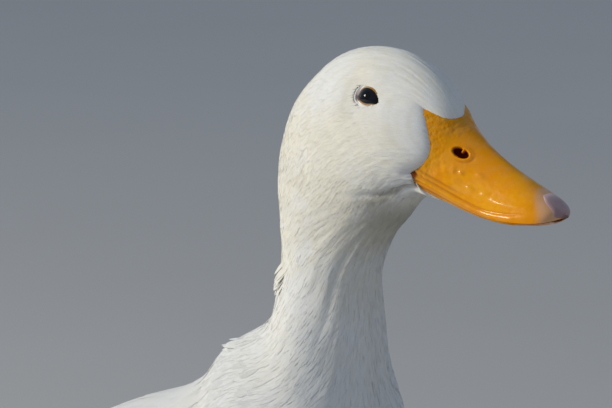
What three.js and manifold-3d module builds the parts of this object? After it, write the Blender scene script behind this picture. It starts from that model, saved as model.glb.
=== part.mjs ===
// A white domestic duck of the Pekin type, life size, standing still with its neck raised and its
// head turned a little to its right. Millimetres, +X toward the bill, +Y to the duck's left, +Z up,
// with the floor at z = 0.
//
// One smooth feathered outline runs from the tip of the tail to the base of the bill. It is parted
// by thin cuts into tail, trunk, two lengths of neck and head. Wings, thighs, shanks, feet, eyes and
// bill are solids of their own that stop just short of what they join.

import * as THREE from 'three';
import { mergeVertices } from 'three/addons/utils/BufferGeometryUtils.js';
import Module from 'manifold-3d';

const wasm = await Module();
wasm.setup();

// ---------------------------------------------------------------- driving dimensions
const GAP = 0.3; // clearance between solids that touch in life
const SIDES = [
  { name: 'left', sign: 1 },
  { name: 'right', sign: -1 },
];

// Placing and turning of the head.
const ORIGIN_SHIFT_X = 25.6; // carries the middle of the whole length over the origin
const NECK_AXIS_X = 98; // vertical axis about which the neck twists
const EYES = { x: NECK_AXIS_X + 33.6, z: 419 }; // midway between the two eyes
const HEAD_PITCH = THREE.MathUtils.degToRad(15); // nose-down tilt of the skull's own frame
const HEAD_TURN = THREE.MathUtils.degToRad(-16); // toward the duck's right

// Outline stations from tail to neck base: upper line (x, z), lower line (x, z), half width.
const TAIL_STATIONS = [
  [-273, 191, -275, 187, 20],
  [-258, 187, -266, 173, 34],
  [-237, 179, -247, 155, 41],
  [-213, 170, -224, 135, 43],
  [-189, 168, -200, 115, 45],
];
const TRUNK_STATIONS = [
  [-161, 181, -170, 97, 54],
  [-126, 203, -133, 82, 68],
  [-84, 225, -88, 73, 80],
  [-42, 242, -38, 71, 86],
  [-6, 258, 18, 74, 88],
  [20, 267, 70, 91, 86],
  [36, 277, 112, 122, 79],
  [45.5, 290.3, 137, 163, 67],
  [66.5, 303.7, 142, 205, 52],
  [71.5, 319.2, 134, 243, 39],
];
// Upper neck and head, measured from the point midway between the eyes.
const HEAD_STATIONS = [
  [-58, -84, -7, -141, 30],
  [-58.2, -74, -10, -112, 26],
  [-59.8, -64, -11.5, -93, 24.8],
  [-61, -54, -7, -79, 25],
  [-62, -43, -1, -69, 26],
  [-60, -28, 5.5, -62, 26.8],
  [-54, -10, 9.5, -56.5, 27.2],
  [-43, 3.5, 13, -52.5, 27],
  [-29, 14.5, 16, -49.5, 26.5],
  [-12, 19.8, 18, -47.8, 26],
  [6, 19, 20, -46.6, 24.5],
  [20, 13.5, 22, -45.8, 22],
];
const BODY_COUNT = TAIL_STATIONS.length + TRUNK_STATIONS.length;
const LAST_STATION = BODY_COUNT + HEAD_STATIONS.length - 1; // only sets the slope at the face
const FACE_STATION = LAST_STATION - 1; // from here the face closes onto the bill
const TWIST = { from: BODY_COUNT - 3, to: BODY_COUNT + 4 }; // stations over which the neck twists
const SKULL = { from: BODY_COUNT + 3, to: BODY_COUNT + 8 }; // stations over which it turns egg-shaped
const SKULL_LEVEL = 0.38; // height of the widest place on the skull, as a share of the section
const SKULL_EGG = 0.1; // how much the crown is narrower than the cheeks

// Cuts that part the outline, as stations.
const CUTS = { tail: 4, neckLower: 12.6, neckUpper: 17, head: 19.6 };

// The edge of the feathering on the bill, in the skull's frame, as three arcs that meet in points:
// over the forehead, down the cheek and under the chin. Half of it, the duck's left, x, y, z.
const FOREHEAD_EDGE = [[41.8, 0, 2.2], [40.7, 6.8, 1.2], [36.4, 11.2, 1], [27.8, 14.7, 2.6]];
const CHEEK_EDGE = [
  [27.8, 14.7, 2.6],
  [34, 15.3, -7.4],
  [37.2, 15.6, -14.6],
  [36.2, 16.5, -21.2],
  [31.3, 17.6, -27.2],
];
const CHIN_EDGE = [[31.3, 17.6, -27.2], [35, 14.5, -34.5], [44, 8, -37.6], [50, 0, -38.4]];
const FACE_FULLNESS = { leave: 1, inward: 0.675, forward: 0.45 }; // pull of the face's two ends
const EDGE_CORNERS = [0, 57, 123, 180].map(THREE.MathUtils.degToRad);

// The bill in the skull's frame: culmen (x, z), cutting edge (x, z), underside (x, z), half width,
// and how peaked the roof is, from square at the base through ridged to flat at the tip.
const BILL_STATIONS = [
  [26, 7, 26, -28, 24, -38, 18, 0.2],
  [37, 4.4, 35, -30.2, 34, -38.3, 16.9, 0.5],
  [47, -0.8, 45, -32, 45, -38.4, 15, 0.95],
  [59, -6.8, 57, -33.8, 57, -38.8, 13.7, 1.15],
  [72, -11.2, 69, -34.4, 69, -38.2, 13.6, 1.1],
  [85, -14.2, 82, -33, 82, -35.8, 14.3, 1],
  [95, -16.8, 94, -29.6, 93, -32.2, 14, 0.9],
  [102.5, -19.4, 102, -26.6, 100.5, -29.2, 10.5, 0.85],
  [106.6, -22.2, 106.6, -23.8, 105, -26, 1, 0.8],
];
const LOWER_BILL_SHARE = 0.88; // half width of the lower mandible against the upper
const NAIL_CUT = { x: 92, z: -24, lean: THREE.MathUtils.degToRad(-20) };
const EYEBALL = { radius: 7, x: 0.3, y: 14.9, z: -2 }; // its centre in the skull frame

// Folded wings, laid on the trunk: stations and angles from the back's middle, in degrees.
const WING = {
  shoulder: 11.35,
  tip: 3.3,
  split: 0.66, // share of the length where the primaries come out from under the coverts
  upperEdge: [76, 50, 37, 29, 23, 18, 14, 10],
  lowerEdge: [94, 120, 125, 123, 114, 99, 76, 42],
  thickness: 7.5, // at the shoulder, over the rim
  thinning: 0.55, // share of the thickness lost by the tip
  rim: 0.8, // thickness along the edges
  rounded: 0.2, // share of the length over which the shoulder rounds up to full thickness
  tipLift: 4, // how far the tips of the primaries stand off the rump
  seam: 0.0015, // gap between coverts and primaries, as a share of the length
  frontCrowd: 1.5, // rings stand closer together at the rounded shoulder
  sunk: 1.4, // how far the shell reaches into the trunk before it is trimmed to it
};

// Legs, in the side view; sizes of a limb are [half depth, half width] along its length.
const LEG_Y = 42; // distance of each leg from the middle plane
const HIP = { x: -32, z: 122 };
const HOCK = { x: -58, z: 61 };
const TOE_JOINT = { x: -22, z: 7 };
const THIGH_SIZES = [[38, 25], [24, 19], [14, 12.5], [9.5, 8.5]];
const SHANK_SIZES = [[7, 5.6], [5.2, 4.3], [4.6, 4], [4.8, 4.4], [6, 5.6]];
const TOE_HUB = { long: 10.5, wide: 8.6, high: 9.5 };
const HIND_TOE = {
  root: { x: -26, z: 8 },
  tip: { x: -45, z: 2.4 },
  sizes: [[3.4, 3.2], [2.9, 2.6], [1, 0.8]],
};
const FOOT = {
  toes: [-27, 0, 27], // splay in degrees, the middle toe straight ahead
  lengths: [61, 75, 63], // from the toe joint to the tips of the claws
  edge: 4, // how far the skin goes past the outer toes, in degrees
  webDip: 6, // how far the web's edge curves in between two toes
  web: 1.8,
  toeHeight: 8.4,
  toeHalfWidth: 4.6,
  inward: 3, // degrees that each foot points toward the middle
};

// Resolution.
const AROUND = 28;
const CLOSE_ROWS = 0.5; // stations between two rings
const SINGLE_ROWS = { from: 13, to: 18 }; // along the neck the stations themselves are close enough
const FACE_ROWS = 4;
const BILL_SIDES = 16;
const BILL_ROWS = 11;
const LOWER_BILL_ROWS = 10; // the lower mandible stops short of the nail
const POCKET_ROWS = 5; // the head is hollowed as far as its feathering reaches
const WING_COLUMNS = 8;
const COVERT_ROWS = 10;
const PRIMARY_ROWS = 6;
const LIMB_SIDES = 12;
const LIMB_ROWS = 5;
const FOOT_COLUMNS = 16;
const FOOT_ROWS = 5;

// ---------------------------------------------------------------- materials
function finish(color, roughness, metalness = 0) {
  return new THREE.MeshStandardMaterial({ color, roughness, metalness });
}

const MATERIALS = {
  feather: finish(0xf2f0ea, 0.9),
  bill: finish(0xf0920f, 0.35),
  nail: finish(0xb79d94, 0.35),
  eye: finish(0x0c0e13, 0.05),
  leg: finish(0xe8801c, 0.5),
};

// ---------------------------------------------------------------- closed solids from rings
/** Closes a stack of rings, each an array of as many points, with flat ends. */
function loft(rings) {
  const count = rings[0].length;
  const position = rings.flat().flatMap((p) => p.toArray());
  const index = [];
  const quad = (a, b, c, d) => index.push(a, b, c, a, c, d);
  for (let row = 0; row + 1 < rings.length; row += 1) {
    for (let i = 0; i < count; i += 1) {
      const j = (i + 1) % count;
      const here = row * count;
      const next = here + count;
      quad(here + i, here + j, next + j, next + i);
    }
  }
  const last = (rings.length - 1) * count;
  for (let i = 0; i + 1 < count / 2; i += 1) {
    const far = count - 1 - i;
    quad(i, far, far - 1, i + 1);
    quad(last + i, last + i + 1, last + far - 1, last + far);
  }
  const geometry = new THREE.BufferGeometry();
  geometry.setAttribute('position', new THREE.Float32BufferAttribute(position, 3));
  geometry.setIndex(index);
  return solid(geometry);
}

/** A manifold solid from a closed geometry, whichever way its faces wind. */
function solid(source) {
  const bare = source.clone();
  bare.deleteAttribute('normal');
  bare.deleteAttribute('uv');
  const merged = mergeVertices(bare, 1e-4);
  const vertProperties = new Float32Array(merged.attributes.position.array);
  const triVerts = new Uint32Array(merged.index.array);
  if (signedVolume(vertProperties, triVerts) < 0) {
    triVerts.reverse();
  }
  return new wasm.Manifold(new wasm.Mesh({ numProp: 3, vertProperties, triVerts }));
}

function signedVolume(vertices, triangles) {
  const corner = (k) => new THREE.Vector3().fromArray(vertices, 3 * triangles[k]);
  let total = 0;
  for (let k = 0; k < triangles.length; k += 3) {
    total += corner(k).dot(corner(k + 1).cross(corner(k + 2)));
  }
  return total / 6;
}

/** The half of space on the side of `origin` that `normal` points to, set off by `offset`. */
function halfSpace(origin, normal, offset) {
  const size = 900;
  const box = new THREE.BoxGeometry(size, size, size);
  box.translate(0, 0, size / 2 + offset);
  box.applyQuaternion(new THREE.Quaternion().setFromUnitVectors(new THREE.Vector3(0, 0, 1), normal));
  box.translate(origin.x, origin.y, origin.z);
  return solid(box);
}

/** What lies between two cuts, each { origin, normal } with its normal toward the bill. */
function between(whole, rear, front) {
  let piece = whole;
  if (rear) {
    piece = piece.intersect(halfSpace(rear.origin, rear.normal, GAP / 2));
  }
  if (front) {
    piece = piece.intersect(halfSpace(front.origin, front.normal.clone().negate(), GAP / 2));
  }
  return piece;
}

function addMesh(group, name, manifold, material) {
  const { vertProperties, triVerts } = manifold.getMesh();
  const geometry = new THREE.BufferGeometry();
  geometry.setAttribute('position', new THREE.Float32BufferAttribute(vertProperties, 3));
  geometry.setIndex([...triVerts]);
  geometry.computeVertexNormals();
  const mesh = new THREE.Mesh(geometry, material.clone());
  mesh.name = name;
  group.add(mesh);
}

const steps = (count) => Array.from({ length: count + 1 }, (_, i) => i / count);
const ringAngles = (count) => steps(count - 1).map((_, i) => (2 * Math.PI * (i + 0.5)) / count);
const curve = (points) => new THREE.CatmullRomCurve3(points, false, 'catmullrom', 0.5);
const smooth = (x, from, to) => THREE.MathUtils.smoothstep(x, from, to);

/** A smooth value through evenly spaced ones, at a share of the way along. */
function profile(values, share) {
  return curve(values.map((value) => new THREE.Vector3(value, 0, 0))).getPoint(share).x;
}

// ---------------------------------------------------------------- the feathered outline
const STATIONS = [
  ...TAIL_STATIONS,
  ...TRUNK_STATIONS,
  ...HEAD_STATIONS.map(([upX, upZ, lowX, lowZ, half]) => (
    [upX + EYES.x, upZ + EYES.z, lowX + EYES.x, lowZ + EYES.z, half]
  )),
];
const UPPER_LINE = curve(STATIONS.map(([x, z]) => new THREE.Vector3(x, 0, z)));
const LOWER_LINE = curve(STATIONS.map(([, , x, z]) => new THREE.Vector3(x, 0, z)));
const HALF_WIDTH = curve(STATIONS.map((row) => new THREE.Vector3(0, row[4], 0)));

/** Turns a point about the neck's axis by a share of the head's turn. */
function twisted(point, share) {
  const angle = HEAD_TURN * share;
  const x = point.x - NECK_AXIS_X;
  return new THREE.Vector3(
    NECK_AXIS_X + x * Math.cos(angle) - point.y * Math.sin(angle),
    x * Math.sin(angle) + point.y * Math.cos(angle),
    point.z,
  );
}

/** A point of the outline at a station, `around` from the back's middle by the left side. */
function outline(station, around, grow = 0) {
  const along = station / LAST_STATION;
  const upper = UPPER_LINE.getPoint(along);
  const lower = LOWER_LINE.getPoint(along);
  const skull = smooth(station, SKULL.from, SKULL.to);
  const centre = lower.clone().lerp(upper, THREE.MathUtils.lerp(0.5, SKULL_LEVEL, skull));
  const arm = Math.cos(around) > 0 ? upper.sub(centre) : centre.clone().sub(lower);
  const reach = arm.length();
  const egg = 1 - SKULL_EGG * skull * Math.cos(around);
  const point = centre.addScaledVector(arm, (Math.cos(around) * (reach + grow)) / reach);
  point.y = (HALF_WIDTH.getPoint(along).y + grow) * Math.sin(around) * egg;
  return twisted(point, smooth(station, TWIST.from, TWIST.to));
}

/** Carries a point from the skull's frame, with its zero midway between the eyes. */
function skullPoint(x, y, z) {
  const c = Math.cos(HEAD_PITCH);
  const s = Math.sin(HEAD_PITCH);
  return twisted(new THREE.Vector3(EYES.x + x * c + z * s, y, EYES.z - x * s + z * c), 1);
}

const EDGE_ARCS = [FOREHEAD_EDGE, CHEEK_EDGE, CHIN_EDGE]
  .map((arc) => curve(arc.map((point) => new THREE.Vector3(...point))));

/** The edge of the feathering on the bill at an angle from the forehead. */
function featherEdge(around) {
  const mirrored = around > Math.PI;
  const angle = mirrored ? 2 * Math.PI - around : around;
  const arc = EDGE_CORNERS.findIndex((corner, i) => angle <= EDGE_CORNERS[i + 1]);
  const share = (angle - EDGE_CORNERS[arc]) / (EDGE_CORNERS[arc + 1] - EDGE_CORNERS[arc]);
  const { x, y, z } = EDGE_ARCS[arc].getPoint(share);
  return skullPoint(x, mirrored ? -y : y, z);
}

const MOUTH_CENTRE = skullPoint(34, 0, -20);
const BILL_AXIS = skullPoint(100, 0, -27).sub(skullPoint(30, 0, -18)).normalize();

/** A point of the face, `share` of the way from the last station to the edge of the feathering. */
function face(share, around) {
  const start = outline(FACE_STATION, around);
  const end = featherEdge(around);
  const span = start.distanceTo(end);
  const before = outline(FACE_STATION - 0.01, around);
  const leave = start.clone().sub(before).setLength(FACE_FULLNESS.leave * span);
  const inward = MOUTH_CENTRE.clone().sub(end).setLength(FACE_FULLNESS.inward * span);
  const arrive = inward.addScaledVector(BILL_AXIS, FACE_FULLNESS.forward * span);
  const s2 = share * share;
  const s3 = s2 * share;
  return start.multiplyScalar(2 * s3 - 3 * s2 + 1)
    .addScaledVector(leave, s3 - 2 * s2 + share)
    .addScaledVector(end, 3 * s2 - 2 * s3)
    .addScaledVector(arrive, s3 - s2);
}

/** The whole outline from tail to bill as one solid; without the face it ends at the last station. */
function feathered(grow = 0) {
  const angles = ringAngles(AROUND);
  const rings = steps(FACE_STATION / CLOSE_ROWS)
    .map((share) => share * FACE_STATION)
    .filter((at) => Number.isInteger(at) || at < SINGLE_ROWS.from || at > SINGLE_ROWS.to)
    .map((station) => angles.map((angle) => outline(station, angle, grow)));
  if (grow === 0) {
    steps(FACE_ROWS).slice(1).forEach((share) => rings.push(angles.map((angle) => face(share, angle))));
  }
  return loft(rings);
}

/** The plane of one station's section, its normal toward the bill. */
function cutAt(station) {
  const back = outline(station, 0);
  const belly = outline(station, Math.PI);
  const side = outline(station, Math.PI / 2).sub(outline(station, -Math.PI / 2));
  const normal = back.clone().sub(belly).cross(side).normalize().negate();
  return { origin: back.lerp(belly, 0.5), normal };
}

// ---------------------------------------------------------------- bill and eyes
const BILL_LINES = {
  culmen: curve(BILL_STATIONS.map(([x, z]) => new THREE.Vector3(x, 0, z))),
  edge: curve(BILL_STATIONS.map(([, , x, z]) => new THREE.Vector3(x, 0, z))),
  under: curve(BILL_STATIONS.map(([, , , , x, z]) => new THREE.Vector3(x, 0, z))),
  shape: curve(BILL_STATIONS.map((row) => new THREE.Vector3(0, row[6], row[7]))),
};

/**
 * One section of the bill. `top` and `bottom` name the lines it spans, `width` scales its half
 * width, and `grow` widens it all round. Above the edge it is a roof as peaked as its station
 * says, and below it is a shallow trough.
 */
function billRing(share, { top, bottom, width, grow, drop }) {
  const from = BILL_LINES[top].getPoint(share);
  const middle = BILL_LINES.edge.getPoint(share);
  const to = BILL_LINES[bottom].getPoint(share);
  const shape = BILL_LINES.shape.getPoint(share);
  const half = shape.y * width + grow;
  return ringAngles(BILL_SIDES).map((angle) => {
    const up = Math.cos(angle);
    const across = Math.sin(angle);
    const arm = (up > 0 ? from : to).clone().sub(middle);
    const power = up > 0 && top === 'culmen' ? shape.z : 1;
    const y = half * Math.sign(across) * Math.abs(across) ** power;
    const point = middle.clone().addScaledVector(arm, Math.abs(up));
    return skullPoint(point.x, y, point.z - drop + grow * Math.sign(up));
  });
}

function billSolid(shape, rows = BILL_ROWS) {
  return loft(steps(rows).map((share) => billRing(share * (rows / BILL_ROWS), shape)));
}

function bill() {
  const upperShape = { top: 'culmen', bottom: 'edge', width: 1, grow: 0, drop: 0 };
  const lowerShape = { top: 'edge', bottom: 'under', width: LOWER_BILL_SHARE, grow: 0, drop: GAP };
  const pocketShape = { top: 'culmen', bottom: 'under', width: 1, grow: GAP, drop: 0 };
  const upper = billSolid(upperShape);
  const lower = billSolid(lowerShape, LOWER_BILL_ROWS);
  const pocket = billSolid(pocketShape, POCKET_ROWS);
  const { x, z, lean } = NAIL_CUT;
  const origin = skullPoint(x, 0, z);
  const normal = skullPoint(x + Math.cos(lean), 0, z - Math.sin(lean)).sub(origin).normalize();
  const cut = { origin, normal };
  return { upper: between(upper, null, cut), nail: between(upper, cut, null), lower, pocket };
}

function eyeball(sign, grow) {
  const ball = new THREE.SphereGeometry(EYEBALL.radius + grow, 12, 8);
  const centre = skullPoint(EYEBALL.x, sign * EYEBALL.y, EYEBALL.z);
  ball.translate(centre.x, centre.y, centre.z);
  return solid(ball);
}

// ---------------------------------------------------------------- wings
/** Part of a folded wing between two shares of its length, a shell laid on the trunk. */
function wingPart(sign, from, to, rows) {
  const rings = steps(rows).map((row) => {
    const share = THREE.MathUtils.lerp(from, to, from === 0 ? row ** WING.frontCrowd : row);
    const station = THREE.MathUtils.lerp(WING.shoulder, WING.tip, share);
    const upper = THREE.MathUtils.degToRad(profile(WING.upperEdge, share));
    const lower = THREE.MathUtils.degToRad(profile(WING.lowerEdge, share));
    const lift = WING.tipLift * smooth(share, WING.split, 1);
    const full = WING.thickness * Math.sqrt(smooth(share, 0, WING.rounded)) * (1 - WING.thinning * share);
    const turned = (across) => sign * THREE.MathUtils.lerp(upper, lower, across);
    const layer = (across, height) => outline(station, turned(across), height);
    const bulge = (across) => WING.rim + full * Math.sqrt(Math.sin(Math.PI * across));
    const outer = steps(WING_COLUMNS).map((across) => layer(across, GAP + lift + bulge(across)));
    const inner = steps(WING_COLUMNS).map((across) => layer(across, lift - WING.sunk));
    return [...outer, ...inner.reverse()];
  });
  return loft(rings);
}

// ---------------------------------------------------------------- legs
/** A tube of ellipses between two points in the side view, in the plane of the left leg. */
function limb(from, to, sizes, grow = 0) {
  const axis = new THREE.Vector3(to.x - from.x, 0, to.z - from.z);
  const length = axis.length();
  axis.normalize();
  const depthWay = new THREE.Vector3(-axis.z, 0, axis.x);
  const rings = steps(LIMB_ROWS).map((share) => {
    const reach = THREE.MathUtils.lerp(-grow, length + grow, share);
    const centre = new THREE.Vector3(from.x, 0, from.z).addScaledVector(axis, reach);
    const depth = profile(sizes.map((size) => size[0]), share) + grow;
    const width = profile(sizes.map((size) => size[1]), share) + grow;
    return ringAngles(LIMB_SIDES).map((angle) => centre.clone()
      .addScaledVector(depthWay, depth * Math.cos(angle))
      .add(new THREE.Vector3(0, width * Math.sin(angle), 0)));
  });
  return loft(rings);
}

/** The round joint that the toes spread from. */
function toeHub(grow = 0) {
  const ball = new THREE.SphereGeometry(1, 12, 8);
  ball.scale(TOE_HUB.long + grow, TOE_HUB.wide + grow, TOE_HUB.high + grow);
  ball.translate(TOE_JOINT.x, 0, TOE_JOINT.z);
  return solid(ball);
}

/** Length of the foot in a direction: the claws stand out past the curved edges of the webs. */
function footReach(angle) {
  const [inner, middle, outer] = FOOT.toes;
  const [side, length] = angle < middle ? [inner, FOOT.lengths[0]] : [outer, FOOT.lengths[2]];
  const share = Math.min(1, angle / side);
  const straight = THREE.MathUtils.lerp(FOOT.lengths[1], length, share);
  return straight - FOOT.webDip * Math.sin(Math.PI * share) ** 0.5;
}

/** Height of the foot's upper surface: the web, with a jointed ridge along each toe. */
function footHeight(angle, reach) {
  const ridges = FOOT.toes.map((toe) => {
    const aside = reach * Math.abs(Math.sin(THREE.MathUtils.degToRad(angle - toe)));
    const slim = FOOT.toeHalfWidth * (1 - reach / 200);
    const round = Math.sqrt(Math.max(0, 1 - (aside / slim) ** 2));
    return (FOOT.toeHeight * (1 - reach / 115) - FOOT.web) * round;
  });
  return FOOT.web + Math.max(...ridges);
}

/** Three toes and the webs between them on the hub, flat underneath. */
function foot() {
  const limit = FOOT.toes[2] + FOOT.edge;
  const angles = steps(FOOT_COLUMNS).map((share) => THREE.MathUtils.lerp(-limit, limit, share));
  const rings = steps(FOOT_ROWS).map((share) => {
    const claw = 1 - 0.7 * smooth(share, 0.88, 1);
    const points = angles.map((angle) => {
      const reach = THREE.MathUtils.lerp(3, footReach(angle), share);
      const turn = THREE.MathUtils.degToRad(angle);
      const height = footHeight(angle, reach) * claw;
      return new THREE.Vector3(TOE_JOINT.x + reach * Math.cos(turn), reach * Math.sin(turn), height);
    });
    return [...points, ...points.map((p) => new THREE.Vector3(p.x, p.y, 0)).reverse()];
  });
  const floor = halfSpace(new THREE.Vector3(), new THREE.Vector3(0, 0, 1), 0);
  return loft(rings).add(toeHub().intersect(floor));
}

function leg() {
  const hub = toeHub(GAP);
  const thigh = limb(HIP, HOCK, THIGH_SIZES);
  const clearance = limb(HIP, HOCK, THIGH_SIZES, GAP).add(hub);
  const shank = limb(HOCK, TOE_JOINT, SHANK_SIZES).subtract(clearance);
  const hindToe = limb(HIND_TOE.root, HIND_TOE.tip, HIND_TOE.sizes).subtract(hub);
  return { thigh, shank, foot: foot(), hindToe };
}

/** Turns and sets a left-hand solid at its leg, mirrored for the right. */
function placed(manifold, sign, turn) {
  const mesh = manifold.getMesh();
  const geometry = new THREE.BufferGeometry();
  geometry.setAttribute('position', new THREE.Float32BufferAttribute(mesh.vertProperties, 3));
  geometry.setIndex([...mesh.triVerts]);
  geometry.translate(-TOE_JOINT.x, 0, 0);
  geometry.rotateZ(THREE.MathUtils.degToRad(-turn));
  geometry.translate(TOE_JOINT.x, LEG_Y, 0);
  geometry.scale(1, sign, 1);
  return solid(geometry);
}

// ---------------------------------------------------------------- assembly
const duck = new THREE.Group();
duck.name = 'duck';
duck.position.x = ORIGIN_SHIFT_X;

const whole = feathered();
const grownTrunk = feathered(GAP);
const beak = bill();
const cuts = Object.fromEntries(Object.entries(CUTS).map(([name, station]) => [name, cutAt(station)]));
const headless = between(whole, cuts.head, null).subtract(beak.pocket);
const head = SIDES.reduce((rest, side) => rest.subtract(eyeball(side.sign, GAP)), headless);

addMesh(duck, 'tail', between(whole, null, cuts.tail), MATERIALS.feather);
addMesh(duck, 'trunk', between(whole, cuts.tail, cuts.neckLower), MATERIALS.feather);
addMesh(duck, 'neck_lower', between(whole, cuts.neckLower, cuts.neckUpper), MATERIALS.feather);
addMesh(duck, 'neck_upper', between(whole, cuts.neckUpper, cuts.head), MATERIALS.feather);
addMesh(duck, 'head', head, MATERIALS.feather);
addMesh(duck, 'bill_upper', beak.upper, MATERIALS.bill);
addMesh(duck, 'bill_nail', beak.nail, MATERIALS.nail);
addMesh(duck, 'bill_lower', beak.lower, MATERIALS.bill);

for (const { name, sign } of SIDES) {
  const coverts = wingPart(sign, 0, WING.split, COVERT_ROWS);
  const primaries = wingPart(sign, WING.split + WING.seam, 1, PRIMARY_ROWS);
  const pieces = leg();
  const thigh = placed(pieces.thigh, sign, 0).subtract(grownTrunk);
  addMesh(duck, `eye_${name}`, eyeball(sign, 0), MATERIALS.eye);
  addMesh(duck, `wing_${name}`, coverts.subtract(grownTrunk), MATERIALS.feather);
  addMesh(duck, `primaries_${name}`, primaries.subtract(grownTrunk), MATERIALS.feather);
  addMesh(duck, `thigh_${name}`, thigh, MATERIALS.feather);
  addMesh(duck, `shank_${name}`, placed(pieces.shank, sign, 0), MATERIALS.leg);
  addMesh(duck, `foot_${name}`, placed(pieces.foot, sign, FOOT.inward), MATERIALS.leg);
  addMesh(duck, `hind_toe_${name}`, placed(pieces.hindToe, sign, 0), MATERIALS.leg);
}

export default duck;
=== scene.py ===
"""Looks of a life-size white duck of the Pekin type that stands still with its neck raised.

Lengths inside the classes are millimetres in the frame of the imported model. A piece is turned to
metres only when its mesh is made. The feathered form is one surface of two parameters: the
station, from 0 at the tip of the tail to 27 at the edge of the feathering on the bill, and the
angle around, from 0 along the middle of the back and over the left side.
"""

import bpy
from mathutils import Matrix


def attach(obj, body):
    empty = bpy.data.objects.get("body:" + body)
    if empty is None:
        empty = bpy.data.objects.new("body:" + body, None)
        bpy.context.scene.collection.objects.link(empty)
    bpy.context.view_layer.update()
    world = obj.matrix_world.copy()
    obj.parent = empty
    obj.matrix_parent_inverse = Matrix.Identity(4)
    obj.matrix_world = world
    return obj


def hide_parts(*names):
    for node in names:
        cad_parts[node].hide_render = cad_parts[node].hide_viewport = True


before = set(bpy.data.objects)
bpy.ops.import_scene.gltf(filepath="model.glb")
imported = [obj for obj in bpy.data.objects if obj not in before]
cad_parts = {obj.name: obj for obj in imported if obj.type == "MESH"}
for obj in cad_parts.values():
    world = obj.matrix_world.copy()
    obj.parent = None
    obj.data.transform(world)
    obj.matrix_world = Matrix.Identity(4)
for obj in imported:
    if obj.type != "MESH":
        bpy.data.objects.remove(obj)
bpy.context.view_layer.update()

import logging
from collections.abc import Callable
from dataclasses import dataclass, field
from enum import Enum
from functools import reduce
from typing import ClassVar

import bpy
import numpy as np
from mathutils import Matrix, Vector

LOG = logging.getLogger("duck")
Array = np.ndarray
Colour = tuple[float, float, float]
Material = bpy.types.Material
Node = bpy.types.Node
Socket = bpy.types.NodeSocket
Tree = bpy.types.NodeTree
Sockets = dict[str, Socket]
Pair = tuple[float, float]
Table = tuple[tuple[float, ...], ...]
METRES = 0.001
TURN = 2 * np.pi
SOFTNESS = 0.9
PLASTIC = 1.32471795724474602596


class Side(Enum):
    """The two sides of the duck, with the sign of their Y."""

    LEFT = 1
    RIGHT = -1

    @property
    def label(self) -> str:
        """The side's name in piece names."""
        return self.name.lower()


# ---- numbers
def smooth(x: Array, low: float, high: float) -> Array:
    """The cubic step 3t^2 - 2t^3 from 0 at low to 1 at high, which may be below low."""
    t = np.clip((np.asarray(x, float) - low) / (high - low), 0, 1)
    return t * t * (3 - 2 * t)


def hump(x: Array, centre: float | Array, width: float | Array) -> Array:
    """The bell exp(-((x - centre) / width)^2)."""
    return np.exp(-(((x - centre) / width) ** 2))


def unit(vectors: Array) -> Array:
    """Vectors scaled to length 1, along the last axis."""
    return vectors / np.maximum(np.linalg.norm(vectors, axis=-1, keepdims=True), 1e-12)


def folded(around: Array) -> Array:
    """Angles around, in radians, counted from 0 to a half turn over either side."""
    return np.minimum(around % TURN, TURN - around % TURN)


def turned(x: Array, y: Array, angle: Array | float) -> tuple[Array, Array]:
    """Two coordinates turned by an angle, from the first toward the second."""
    return x * np.cos(angle) - y * np.sin(angle), x * np.sin(angle) + y * np.cos(angle)


def dot(a: Array, b: Array) -> Array:
    """The inner product along the last axis."""
    return np.sum(a * b, axis=-1)


def catmull_rom(knots: Array | tuple, at: Array) -> Array:
    """The smooth curve through evenly numbered knots, whose slope at each is half the step over it.

    Args:
        knots: rows of numbers, of shape (n, k).
        at: places along the curve, where knot i is at i.

    Returns:
        The curve's rows, of shape at.shape + (k,).
    """
    rows = np.asarray(knots, float).reshape(len(knots), -1)
    padded = np.vstack([2 * rows[0] - rows[1], rows, 2 * rows[-1] - rows[-2]])
    low = np.clip(np.floor(at).astype(int), 0, len(rows) - 2)
    t = (at - low)[..., None]
    a, b, c, d = (padded[low + k] for k in range(4))
    cubic = 3 * b - a - 3 * c + d
    return 0.5 * (2 * b + (c - a) * t + (2 * a - 5 * b + 4 * c - d) * t**2 + cubic * t**3)


def lattice_noise(along: Array, around: Array, columns: int, seed: int) -> Array:
    """Smooth noise from -1 to 1: random heights on a lattice, joined by cubic steps.

    Args:
        along: first coordinate, in lattice steps.
        around: second coordinate in turns, after which the noise repeats.
        columns: lattice steps in a turn.
        seed: seed of the heights.

    Returns:
        The noise.
    """
    low = int(np.floor(along.min())) - 1
    rows = int(np.ceil(along.max())) - low + 3
    heights = np.random.default_rng(seed).uniform(-1, 1, (rows, columns))
    x, y = along - low, (around % 1.0) * columns
    i, j = np.floor(x).astype(int), np.floor(y).astype(int)
    u, v = x - i, y - j
    u, v = u * u * (3 - 2 * u), v * v * (3 - 2 * v)
    j, k = j % columns, (j + 1) % columns
    near = heights[i, j] * (1 - v) + heights[i, k] * v
    far = heights[i + 1, j] * (1 - v) + heights[i + 1, k] * v
    return near * (1 - u) + far * u


def spread_pairs(count: int, seed: int) -> Array:
    """Evenly spread pairs in the unit square, steps of the plastic number's powers from a start."""
    start = np.random.default_rng(seed).uniform(0, 1, 2)
    return (start + np.arange(1, count + 1)[:, None] / [PLASTIC, PLASTIC**2]) % 1.0


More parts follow.
